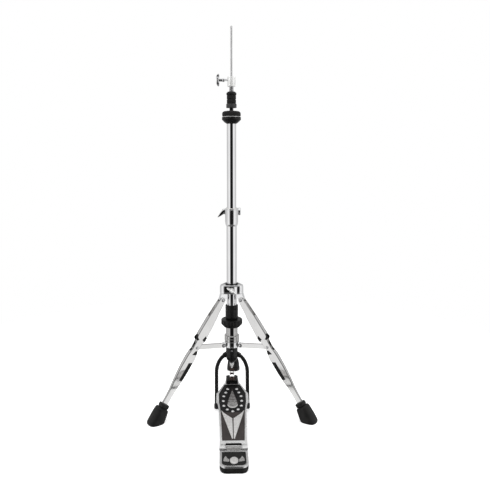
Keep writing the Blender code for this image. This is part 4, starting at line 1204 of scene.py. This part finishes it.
def rod_path(side, half_width):
    """The middle line of a bent frame rod, from inside the yoke to its foot."""
    path = []
    for i in range(41):
        angle = math.radians(24 + 66 * i / 40)
        path.append((side * half_width * math.sin(angle), ARCH_LOW + ARCH_RISE * math.cos(angle)))
    for i in range(1, 13):
        path.append((side * half_width, ARCH_LOW + (ROD_FOOT_Z - ARCH_LOW) * i / 12))
    return [(x, -RAKE * max(0.0, 1.0 - z / RAKE_TOP), z) for x, z in path]


def make_frame():
    make_yoke()
    radius = 0.0055
    knee = Vector((0.0255, -0.07))
    heel = Vector((0.0255, -0.325))
    bar_half = 0.004
    for side, name in SIDES:
        node = f"frame_rod_{name}"
        half_width = max(abs(x) for x in span(node, 0)) - radius
        points = rod_path(side, half_width)
        bar = tube_along(points, radius, 40)
        piece(f"frame_rod_{name}_bent", bar, "black_paint", "base", [node], smooth=50)

        start = Vector(points[0])
        away = (Vector(points[1]) - start).normalized()
        along = Vector((0, 0, 1)).rotation_difference(away).to_matrix().to_4x4()
        sleeve = [(0, -0.008), (0.0075, -0.008), (0.0075, 0.0055), (0.0068, 0.007)]
        sleeve += [(0.0057, 0.0074), (0.0057, -0.001), (0, -0.001)]
        boss = moved(lathe(sleeve, MEDIUM, soften=0.0008), place(*start), along)
        piece(f"yoke_boss_{name}", boss, "black_paint", "base", smooth=40)

        foot = Vector(points[-1])
        front = Vector((side * foot.x, foot.y))
        across = (knee - front).orthogonal().normalized() * bar_half
        outline = [
            front - across, front + across, Vector((knee.x + bar_half, knee.y)),
            Vector((heel.x + bar_half, heel.y)), Vector((heel.x - bar_half, heel.y)),
            Vector((knee.x - bar_half, knee.y)),
        ]
        outline = softened([(side * p.x, p.y) for p in outline], 0.004, 6)
        node = f"radius_bar_{name}"
        bar = slab(outline, 0.003, 0.008)
        piece(f"radius_bar_{name}_flat", bar, "black_paint", "base", [node], bevel=0.0007)
        cup = [(0, 0.0002), (0.0056, 0), (0.0069, 0.0014), (0.007, 0.011), (0.0064, 0.0135)]
        cup += [(0.0058, 0.0142), (0.0056, 0.014), (0.0056, 0.006), (0, 0.006)]
        shape = moved(lathe(cup, MEDIUM, soften=0.0006), place(foot.x, foot.y))
        piece(f"frame_foot_{name}", shape, "black_paint", "base")


# --- Heel plate ---


def heel_outline(inset, low, high):
    """The heel's outline between its two corners, with rounded rear corners."""
    half = high.x - inset
    corner = 0.017 - inset
    front = high.y - inset
    rear = low.y + inset
    points = [(half, front), (-half, front)]
    points += arc(-half + corner, rear + corner, corner, 180, 270, 16)
    points += arc(half - corner, rear + corner, corner, 270, 360, 16)
    return points


def make_heel():
    low, high = (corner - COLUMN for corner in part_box("heel_base"))
    inlay_inset = 0.0053
    high.y = span("heel_panel", 1)[1] + inlay_inset
    levels = [
        (0.0024, 0.0), (0.0012, 0.0006), (0.0003, 0.0042), (0.0, 0.0052), (0.0, high.z - 0.0016),
        (0.0006, high.z - 0.0004), (0.0014, high.z),
    ]
    rings = [[(x, y, z) for x, y in softened(heel_outline(i, low, high), 0.002)] for i, z in levels]
    slots = []
    for side in (-1, 1):
        x = side * 0.0255
        slots.append(box_shape((x - 0.0046, -0.3262, 0.0027), (x + 0.0046, -0.29, 0.0083)))
    for i in range(5):
        y = high.y - 0.046 - 0.007 * i
        slots.append(box_shape((-0.02, y - 0.0012, -0.001), (0.02, y + 0.0012, 0.001)))
    piece("heel_base_moulded", loft(rings), "black_rubber", "base", ["heel_base"], cuts=slots)
    # A black plate under the hinge, where the gap between the board's end and the barrel is only
    # shadow: painted shade that blackens the gap
    tongue = slab(
        softened([(0.019, -0.296), (0.019, -0.262), (-0.019, -0.262), (-0.019, -0.296)], 0.003),
        0.0, 0.01,
    )
    piece("heel_gap_shade_plate", tongue, "black_rubber", "base", bevel=0.0008)

    hinge = pivot("footboard_pivot")
    plate_low = 0.014
    plate_high = high.z + 0.0053
    border = 0.005
    plate = slab(softened(heel_outline(0, low, high), 0.0012), plate_low, plate_high)
    recess = slab(heel_outline(border, low, high), plate_high - 0.0012, plate_high + 0.002)
    piece(
        "heel_plate_cast", plate, "satin_aluminium", "base", ["heel_plate"], bevel=0.0008,
        cuts=[recess],
    )
    half = 0.0175
    at_hinge = place(0, hinge.y, hinge.z)
    barrel = lathe([
        (0.0029, half), (0.0054, half), (0.006, half - 0.0006), (0.006, 0.004), (0.0056, 0.0036),
        (0.0056, 0.0024), (0.006, 0.002), (0.006, -half + 0.0006), (0.0054, -half), (0.0029, -half),
    ], bored=True, soften=0)
    piece("heel_barrel", moved(barrel, at_hinge, TO_X), "grey_print", "base")
    web = box_shape((-half, high.y - 0.003, plate_low), (half, hinge.y - 0.005, plate_high))
    piece("heel_web", web, "satin_aluminium", "base", bevel=0.0007)
    pin = peg(0.0025, -0.033, 0.033, 0.0004, MEDIUM)
    piece("heel_pin", moved(pin, at_hinge, TO_X), "bright_steel", "base", ["heel_hinge_pin"])

    panel_top = plate_high - 0.0003
    panel = slab(heel_outline(inlay_inset, low, high), plate_high - 0.001, panel_top)
    piece("heel_inlay", panel, "black_panel", "base", ["heel_panel"], bevel=0.0002, segments=2)
    make_heel_badge(panel_top)


def elliptic(centre, half_x, half_y, start, end, steps):
    """Points along an arc of an upright ellipse, angles in degrees."""
    points = arc(0, 0, 1, start, end, steps)
    return [(half_x * x, centre + half_y * y) for x, y in points]


def make_heel_badge(top):
    """A plain oval boss with a fan of curved ribs on each side."""
    centre = -0.3375
    half_x = 0.0102
    half_y = 0.0148
    oval = [(x, y - centre) for x, y in elliptic(centre, half_x, half_y, 0, 354, 59)]
    badge = domed(oval, (0, centre), top - 0.0002, 0.0013, 8)
    piece("heel_oval", badge, "silver_print", "base", smooth=60)
    rim = rim_of(oval, (0, centre), 0.001, top - 0.0002, top + 0.0008)
    piece("heel_oval_rim", rim, "satin_aluminium", "base", bevel=0.00015, segments=2)
    for k in range(6):
        near = 0.002 + 0.0022 * k
        far = near + 0.0013
        start = 18 + 4 * k
        end = -14 + 2 * k
        rib = elliptic(centre, half_x + near, half_y + near, start, end, 12)
        rib += elliptic(centre, half_x + far, half_y + far, end, start, 12)
        for side, label in SIDES:
            shape = slab([(side * x, y) for x, y in rib], top - 0.0002, top + 0.0007)
            name = f"heel_rib_{label}_{k + 1}"
            piece(name, shape, "silver_print", "base", bevel=0.0002, segments=2)


def domed(outline, centre, base, height, steps):
    """A low dome over an outline about its own middle."""
    rings = []
    for i in range(steps + 1):
        angle = math.pi / 2 * i / steps
        scale = max(0.02, math.cos(angle))
        z = base + height * math.sin(angle)
        rings.append([(centre[0] + x * scale, centre[1] + y * scale, z) for x, y in outline])
    return loft(rings)


def rim_of(outline, centre, width, low, high):
    """A flat band along an outline about its own middle."""
    reach = max(math.hypot(x, y) for x, y in outline)
    inner = 1 - width / reach
    shift = [(centre[0] + x, centre[1] + y) for x, y in outline]
    hole = [(centre[0] + x * inner, centre[1] + y * inner) for x, y in outline]
    return slab(shift, low, high, holes=[hole])


# --- Footboard ---


def footboard_slope():
    """Slope of the board, from the far edge of its toe."""
    hinge = pivot("footboard_pivot")
    toe = far_end("footboard", hinge, 0.0005) - hinge
    return math.atan2(toe.z, toe.y) - math.atan2(0.0027, toe.length)


def mirrored(half_outline):
    """A whole outline from its right half."""
    return half_outline + [(-x, y) for x, y in reversed(half_outline)]


def make_footboard():
    hinge = pivot("footboard_pivot")
    on_board = place(*hinge) @ Matrix.Rotation(footboard_slope(), 4, "X")
    top = 0.0048
    bottom = 0.0006
    floor_of_panel = top - 0.001
    edge = [
        (0.0195, 0.014), (0.0195, 0.0092), (0.0335, 0.0092), (0.0335, 0.046), (0.0368, 0.133),
        (0.0385, 0.156), (0.0405, 0.169), (0.044, 0.173), (0.044, 0.209), (0.04, 0.2155),
        (0.0245, 0.252), (0.0205, 0.259), (0.018, 0.279),
    ]
    inlay = [
        (0.0276, 0.023), (0.0285, 0.046), (0.032, 0.133), (0.0365, 0.171), (0.037, 0.209),
        (0.0215, 0.25),
    ]

    def add(name, shape, finish, stands_for=(), **more):
        cuts = [moved(cut, on_board) for cut in more.pop("cuts", ())]
        return piece(
            name, moved(shape, on_board), finish, "footboard", stands_for, cuts=cuts, **more
        )

    board = slab(softened(mirrored(edge), 0.0022, 5), bottom, top)
    recess = slab(softened(mirrored(inlay), 0.0016), floor_of_panel, top + 0.002)
    lightening = []
    for low_y, high_y, half in ((0.03, 0.08, 0.022), (0.088, 0.14, 0.025), (0.148, 0.205, 0.028)):
        hollow = [(half, low_y), (half, high_y), (-half, high_y), (-half, low_y)]
        lightening.append(slab(softened(hollow, 0.006), bottom - 0.002, bottom + 0.0012))
    add(
        "footboard_cast", board, "satin_aluminium", ["footboard"], bevel=0.0009,
        cuts=[recess, *lightening],
    )
    seal = box_shape((-0.0192, 0.0112, 0.0002), (0.0192, 0.0142, 0.0046))
    add("footboard_seal", seal, "black_rubber", bevel=0.0003)
    profile = arc(0, 0, 0.0062, 165, 360, 24)
    profile += [(0.012, bottom), (0.012, top), (-0.003, top)]
    profile = softened(profile, 0.0012)
    for side, label in SIDES:
        knuckle = moved(slab(profile, -0.0063, 0.0063), place(x=side * 0.0274), SIDEWAYS)
        bore = moved(peg(0.0028, -0.04, 0.04, 0), TO_X)
        add(f"footboard_knuckle_{label}", knuckle, "satin_aluminium", bevel=0.0006, cuts=[bore])
        screw = lathe(
            [(0, 0.0012), (0.0018, 0.0011), (0.0026, 0.0004), (0.0026, 0), (0, 0)], MEDIUM
        )
        at_end = moved(screw, place(side * 0.0337, 0, 0), turn(side * 90, "Y"))
        add(f"footboard_screw_{label}", at_end, "bright_steel")
        bead = [(0.03, 0.03), (0.0306, 0.047), (0.0342, 0.134), (0.0356, 0.15)]
        width = 0.0007
        rail = [(side * (x + width), y) for x, y in bead]
        rail += [(side * (x - width), y) for x, y in reversed(bead)]
        add(
            f"footboard_bead_{label}", slab(rail, top - 0.0004, top + 0.0005), "satin_aluminium",
            bevel=0.0003,
        )

    split = 0.129
    lower = [(0.0273, 0.0233), (0.0282, 0.046), (0.0316, split)]
    upper = [(0.0316, split), (0.0362, 0.1712), (0.0367, 0.2088), (0.0213, 0.2497)]
    panel_top = top - 0.0001
    for label, rows, finish_name, nodes in (
        ("lower", lower, "dark_panel", ["footboard_panel"]), ("upper", upper, "black_panel", ())
    ):
        panel = slab(mirrored(rows), floor_of_panel + 0.0002, panel_top)
        add(f"footboard_panel_{label}", panel, finish_name, nodes, bevel=0.00012, segments=2)
    make_inlays(add, panel_top)
    make_toe_clamp(add, top)


def forward_to_board(forward):
    """Distance along the board from its hinge, for a place this far forward of the column."""
    slope = footboard_slope()
    return (-pivot("footboard_pivot").y - forward) / math.cos(slope)


STUDS = [  # across and forward of the column
    (0.0, 0.155), (0.0145, 0.1475), (0.0236, 0.1325), (0.025, 0.1125), (0.0237, 0.0925),
    (0.0182, 0.0765), (0.0126, 0.061),
]


def make_studs(add, top):
    head = [(0, 0.0022), (0.0014, 0.0021), (0.003, 0.0015), (0.0042, 0.0004), (0.0042, -0.0003)]
    places = STUDS + [(-x, forward) for x, forward in STUDS[1:]]
    for i, (x, forward) in enumerate(places):
        at_stud = place(x, forward_to_board(forward), top)
        stud = lathe([*head, (0, -0.0003)], MEDIUM, soften=0.0005)
        add(f"footboard_stud_{i + 1:02d}", moved(stud, at_stud), "satin_aluminium")
        collar = ring(0.005, 0.0043, -0.0003, 0.0004, 0.00015, MEDIUM)
        add(f"footboard_stud_ring_{i + 1:02d}", moved(collar, at_stud), "black_plastic")


def make_inlays(add, panel_top):
    make_studs(add, panel_top)
    low = panel_top - 0.0002
    high = panel_top + 0.0005

    def flat(name, outline, finish, raised=0.0):
        shape = slab(outline, low, high + raised)
        add(name, shape, finish, bevel=0.0001, segments=2)

    apex = forward_to_board(0.06)
    centre = forward_to_board(0.1234)
    half_x = 0.015
    half_y = 0.0187
    shoulder = 28
    cone = [(0.0, apex)]
    drop = elliptic(centre, half_x, half_y, shoulder, shoulder - 236, 60)
    flat("emblem_drop", cone + drop, "dark_panel", -0.0002)

    def half_of_cone(y):
        """Half the width of the drop above its shoulder."""
        shoulder_x, shoulder_y = drop[0]
        return shoulder_x * (apex - y) / (apex - shoulder_y)

    for k in range(7):
        y = centre + 0.013 + 0.0066 * k
        half = half_of_cone(y) - 0.0008
        bow = 0.28 * half
        band = [(half * math.sin(t), y + bow * math.cos(t)) for t in spread_angles(16)]
        band += [(x, y - 0.0034 + 0.1 * k * 0.001) for x, y in reversed(band)]
        flat(f"emblem_band_{k + 1}", band, "grey_print")
    face = elliptic(centre - 0.0006, half_x - 0.0022, half_y - 0.0034, 0, 354, 59)
    flat("emblem_disc", face, "grey_print", 0.0001)
    crescent = elliptic(centre, half_x, half_y, 200, 340, 40)
    crescent += elliptic(centre + 0.0022, half_x - 0.0012, half_y - 0.0022, 340, 200, 40)
    flat("emblem_rim", crescent, "silver_print", 0.0002)
    for k, (start, end, grow) in enumerate(
        ((35, 150, 0.0), (20, 135, -0.004), (200, 320, -0.0034))
    ):
        x = half_x - 0.004 + grow
        y = half_y - 0.0062 + grow
        line = elliptic(centre, x, y, start, end, 24)
        line += elliptic(centre, x - 0.0009, y - 0.0011, end, start, 24)
        flat(f"emblem_line_{k + 1}", line, "dark_panel", 0.0003)

    for side, label in SIDES:
        points = [
            (0.0307, 0.1505), (0.0206, 0.1643), (0.0017, 0.1823), (0.0009, 0.2555), (0.0032, 0.257)
        ]
        wedge = [(side * x, forward_to_board(forward)) for x, forward in points]
        flat(f"wedge_{label}", wedge, "silver_print")


def spread_angles(steps):
    return [math.pi / 2 * (-1 + 2 * i / steps) for i in range(steps + 1)]


def make_toe_clamp(add, top):
    half = 0.017
    low = top + 0.0003
    high = 0.0164
    near = 0.2535
    far = 0.2795
    profile = [(-half, low), (half, low), (half, high - 0.003), (half - 0.0026, high)]
    profile += [(0.009, high), (0.0078, high - 0.0008), (-0.0078, high - 0.0008)]
    profile += [(-0.009, high), (-half + 0.0026, high), (-half, high - 0.003)]
    block = moved(slab(softened(profile, 0.0009), -far, -near), UPRIGHT)
    gap = box_shape((-0.0068, 0.269, 0.0), (0.0068, 0.29, 0.02))
    grooves = []
    for x in (-0.0128, 0.0128):
        grooves.append(box_shape((x - 0.0011, 0.25, high - 0.0016), (x + 0.0011, 0.283, 0.02)))
    add("toe_clamp_cast", block, "black_paint", ["toe_clamp"], bevel=0.0005, cuts=[gap, *grooves])
    liner = box_shape((-0.0066, 0.2692, top - 0.0002), (0.0066, 0.2788, top + 0.0004))
    add("toe_liner", liner, "oiled_chain", bevel=0.0002)
    wall = box_shape((-0.0067, 0.2787, top - 0.0002), (0.0067, 0.2795, high - 0.005))
    add("toe_slot_wall", wall, "oiled_chain", bevel=0.0002)
    tail = [(0.0018, high - 0.001), (0.0018, high - 0.0002), (-0.0018, high - 0.0002)]
    tail = softened([*tail, (-0.0018, high - 0.001)], 0.0002)
    for k, x in enumerate((-0.0052, 0.0, 0.0052)):
        strip = moved(slab([(x + a, b) for a, b in tail], -0.2685, -near - 0.001), UPRIGHT)
        add(f"toe_tongue_{k + 1}", strip, "oiled_chain")


# --- Chain ---


def chain_plate(pitch, radius, waist, low, high):
    """A figure-of-eight side plate along -Y from the origin, as a flat outline."""
    outline = arc(0, 0, radius, -35, 215, 24)
    outline += [(-waist, -pitch / 2)]
    outline += arc(0, -pitch, radius, 145, 395, 24)
    outline += [(waist, -pitch / 2)]
    return slab(softened(outline, 0.0008), low, high)


def make_chain():
    top = pivot("chain_swing")
    foot = far_end("drive_chain", top, 0.0006)
    direction = foot - top
    reach = direction.length - 0.0036
    lean = math.atan2(-direction.y, -direction.z)
    hang = place(*top) @ Matrix.Rotation(-lean, 4, "X") @ SIDEWAYS
    links = 3
    pitch = reach / links
    for i in range(links):
        inner = i % 2 == 1
        gap = 0.0032 if inner else 0.005
        for side, label in SIDES:
            low, high = sorted((side * gap, side * (gap + 0.0012)))
            plate = chain_plate(pitch, 0.0035, 0.0026, low, high)
            stands_for = ["drive_chain"] if i == 0 and side < 0 else []
            piece(
                f"chain_plate_{i + 1}_{label}", moved(plate, hang, place(0, -i * pitch, 0)),
                "bright_steel" if i == links - 1 else "oiled_chain", "chain", stands_for,
                bevel=0.0002,
            )
    for i in range(1, links + 1):
        roller = joined(
            ring(0.0026, 0.0016, -0.0031, 0.0031, 0.0003, MEDIUM), peg(0.0015, -0.0065, 0.0065)
        )
        piece(
            f"chain_roller_{i}", moved(roller, hang, place(0, -i * pitch, 0)), "oiled_chain",
            "chain",
        )
    pin = peg(0.0016, -0.0066, 0.0066, 0.0004)
    piece(
        "chain_pin_turned", moved(pin, place(*top), TO_X), "bright_steel", "pull_rod", ["chain_pin"]
    )

    low, high = span("rod_connector")
    profile = softened([
        (0.0065, high), (-0.0065, high), (-0.005, high - 0.007), (-0.0028, high - 0.0076),
        (-0.0028, low + 0.0008), (-0.002, low), (0.002, low), (0.0028, low + 0.0008),
        (0.0028, high - 0.0076), (0.005, high - 0.007),
    ], 0.0007)
    block = moved(slab(profile, -0.0052, 0.0052), UPRIGHT)
    piece(
        "rod_connector_cast", block, "satin_nickel", "pull_rod", ["rod_connector"], bevel=0.0006,
        cuts=[peg(0.0043, high - 0.0047, 0.13, 0)],
    )


def make_return_spring():
    """The coil under the pull rod's collar, wound at one fixed length; in the real stand the pedal
    shortens it.
    """
    wire = 0.0011
    bottom, top = span("return_spring")
    radius = span("return_spring", 0)[1] - wire
    turns = 6
    points = []
    for i in range(turns * MEDIUM + 1):
        angle = math.tau * i / MEDIUM
        height = bottom + wire + (top - bottom - 2 * wire) * i / (turns * MEDIUM)
        points.append((radius * math.cos(angle), radius * math.sin(angle), height))
    coil = tube_along(points, wire, 12)
    spring = piece("return_spring_wound", coil, "bright_steel", "base", ["return_spring"])
    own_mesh(spring)


# --- The CAD nodes that stay in view ---

KEPT = {"spring_collar": "bright_steel"}


def finish_kept_nodes():
    for name, finish in KEPT.items():
        node = frame["nodes"][name]
        node.data.materials.clear()
        node.data.materials.append(FINISH[finish])
        edge = node.modifiers.new("edges", "BEVEL")
        edge.width = 0.0002
        edge.segments = 2
        edge.limit_method = "ANGLE"


# --- Studio ---


# Brightness of the studio by degrees away from the player's side.
AROUND = [
    (0, 0.01), (25, 0.01), (33, 0.3), (44, 0.95), (60, 1.02), (76, 0.84), (96, 0.7), (126, 0.62),
    (180, 0.56),
]
# How much of that shows, and how bright the ceiling is, by degrees above the horizon.
WALLS = [(-90, 0.0), (-46, 0.0), (-31, 1.0), (32, 1.0), (43, 0.0), (90, 0.0)]
CEILING = [(-90, 0.12), (-31, 0.12), (-25, 0.0), (35, 0.0), (48, 0.92), (90, 1.1)]


def make_world():
    """A white background, and in reflections a bright studio that is dark behind the viewer."""
    world = bpy.data.worlds.new("studio")
    bpy.context.scene.world = world
    world.use_nodes = True
    tree = world.node_tree
    nodes = tree.nodes
    links = tree.links
    towards = nodes.new("ShaderNodeSeparateXYZ")
    links.new(nodes.new("ShaderNodeTexCoord").outputs["Generated"], towards.inputs[0])

    def maths(operation, *values):
        node = nodes.new("ShaderNodeMath")
        node.operation = operation
        for socket, value in zip(node.inputs, values):
            if isinstance(value, float):
                socket.default_value = value
            else:
                links.new(value, socket)
        return node.outputs[0]

    def by_angle(angle, low, high, stops):
        fraction = add_range(tree, angle, math.radians(low), math.radians(high))
        return add_ramp(tree, fraction, [((at - low) / (high - low), value) for at, value in stops])

    x, y, z = towards.outputs
    around = maths("ARCTAN2", maths("ABSOLUTE", x), maths("MULTIPLY", y, -1.0))
    height = maths("ARCSINE", z)
    walls = maths("MULTIPLY", by_angle(around, 0, 180, AROUND), by_angle(height, -90, 90, WALLS))
    glow = maths("ADD", walls, by_angle(height, -90, 90, CEILING))
    studio = nodes["Background"]
    links.new(glow, studio.inputs["Color"])
    backdrop = nodes.new("ShaderNodeBackground")
    backdrop.inputs["Color"].default_value = (1, 1, 1, 1)
    seen = nodes.new("ShaderNodeLightPath").outputs["Is Camera Ray"]
    add_mix(tree, seen, studio.outputs[0], backdrop.outputs[0], "World Output")


FLOOR_GLOW = 0.3
FLOOR_CLEAR_FROM = 0.55  # distance from the middle of the floor at which it starts to fade
FLOOR_CLEAR_AT = 1.25


def make_floor():
    shape = bmesh.new()
    loops = []
    for radius in (0.0, 0.4, 0.7, 1.0, 1.3):
        loops.append([shape.verts.new((x, y, 0)) for x, y in circle(0, 0, radius, ROUND)])
    for near, far in zip(loops, loops[1:]):
        for i in range(ROUND):
            j = (i + 1) % ROUND
            shape.faces.new((near[i], near[j], far[j], far[i]))
    bmesh.ops.remove_doubles(shape, verts=shape.verts, dist=1e-7)
    floor = new_object("studio_floor", to_mesh(shape, "studio_floor"))
    floor.location = (0, 0, -0.0002)
    floor.visible_glossy = False
    paper = Finish("floor_paper", (0.93, 0.93, 0.93), roughness=0.9)
    paper.vary_colour(3, [(0.3, (0.925, 0.925, 0.925)), (0.7, (0.935, 0.935, 0.935))])
    paper.set(Emission_Color=(1, 1, 1, 1), Emission_Strength=FLOOR_GLOW)
    clear = paper.nodes.new("ShaderNodeBsdfTransparent")
    length = paper.nodes.new("ShaderNodeVectorMath")
    length.operation = "LENGTH"
    paper.links.new(paper.place, length.inputs[0])
    fade = add_range(paper.tree, length.outputs["Value"], FLOOR_CLEAR_FROM, FLOOR_CLEAR_AT)
    add_mix(paper.tree, fade, paper.shader.outputs[0], clear.outputs[0], "Material Output")
    floor.data.materials.append(paper.material)


def make_lights():
    for name, place_at, size, power in (
        ("key", (-1.2, -1.1, 2.0), 1.2, 26),
        ("fill", (1.4, -0.8, 1.3), 1.2, 14),
        ("back", (0.2, 1.6, 1.8), 1.4, 16),
    ):
        light = bpy.data.lights.new(name, "AREA")
        light.shape = "DISK"
        light.size = size
        light.energy = power
        lamp = new_object(name, light)
        lamp.location = place_at
        lamp.visible_glossy = False
        aim = Vector((0, 0, 0.4)) - lamp.location
        lamp.rotation_euler = aim.to_track_quat("-Z", "Y").to_euler()


SENSOR = 36  # width, in millimetres
PHOTO_WIDTH = 491  # pixels
FOCAL = 535  # pixels of that width
EYE = (-0.021, -1.475, 0.727)  # from the column's foot
EYE_TILT = 80  # degrees from straight down
EYE_PAN = -1.36


def make_camera():
    lens = bpy.data.cameras.new("camera")
    lens.sensor_width = SENSOR
    lens.lens = SENSOR * FOCAL / PHOTO_WIDTH
    lens.shift_x = 0.017
    camera = new_object("camera", lens)
    camera.location = (EYE[0], COLUMN.y + EYE[1], EYE[2])
    camera.rotation_euler = (math.radians(EYE_TILT), 0, math.radians(EYE_PAN))
    bpy.context.scene.camera = camera


# --- Assembly ---

make_tubes()
make_seat()
make_clutch()
make_height_clamp()
make_hub()
make_legs()
make_braces()
make_spring_unit()
make_return_spring()
make_frame()
make_heel()
make_footboard()
make_chain()
finish_kept_nodes()
make_world()
make_floor()
make_lights()
make_camera()
bpy.context.scene.view_settings.view_transform = "Standard"
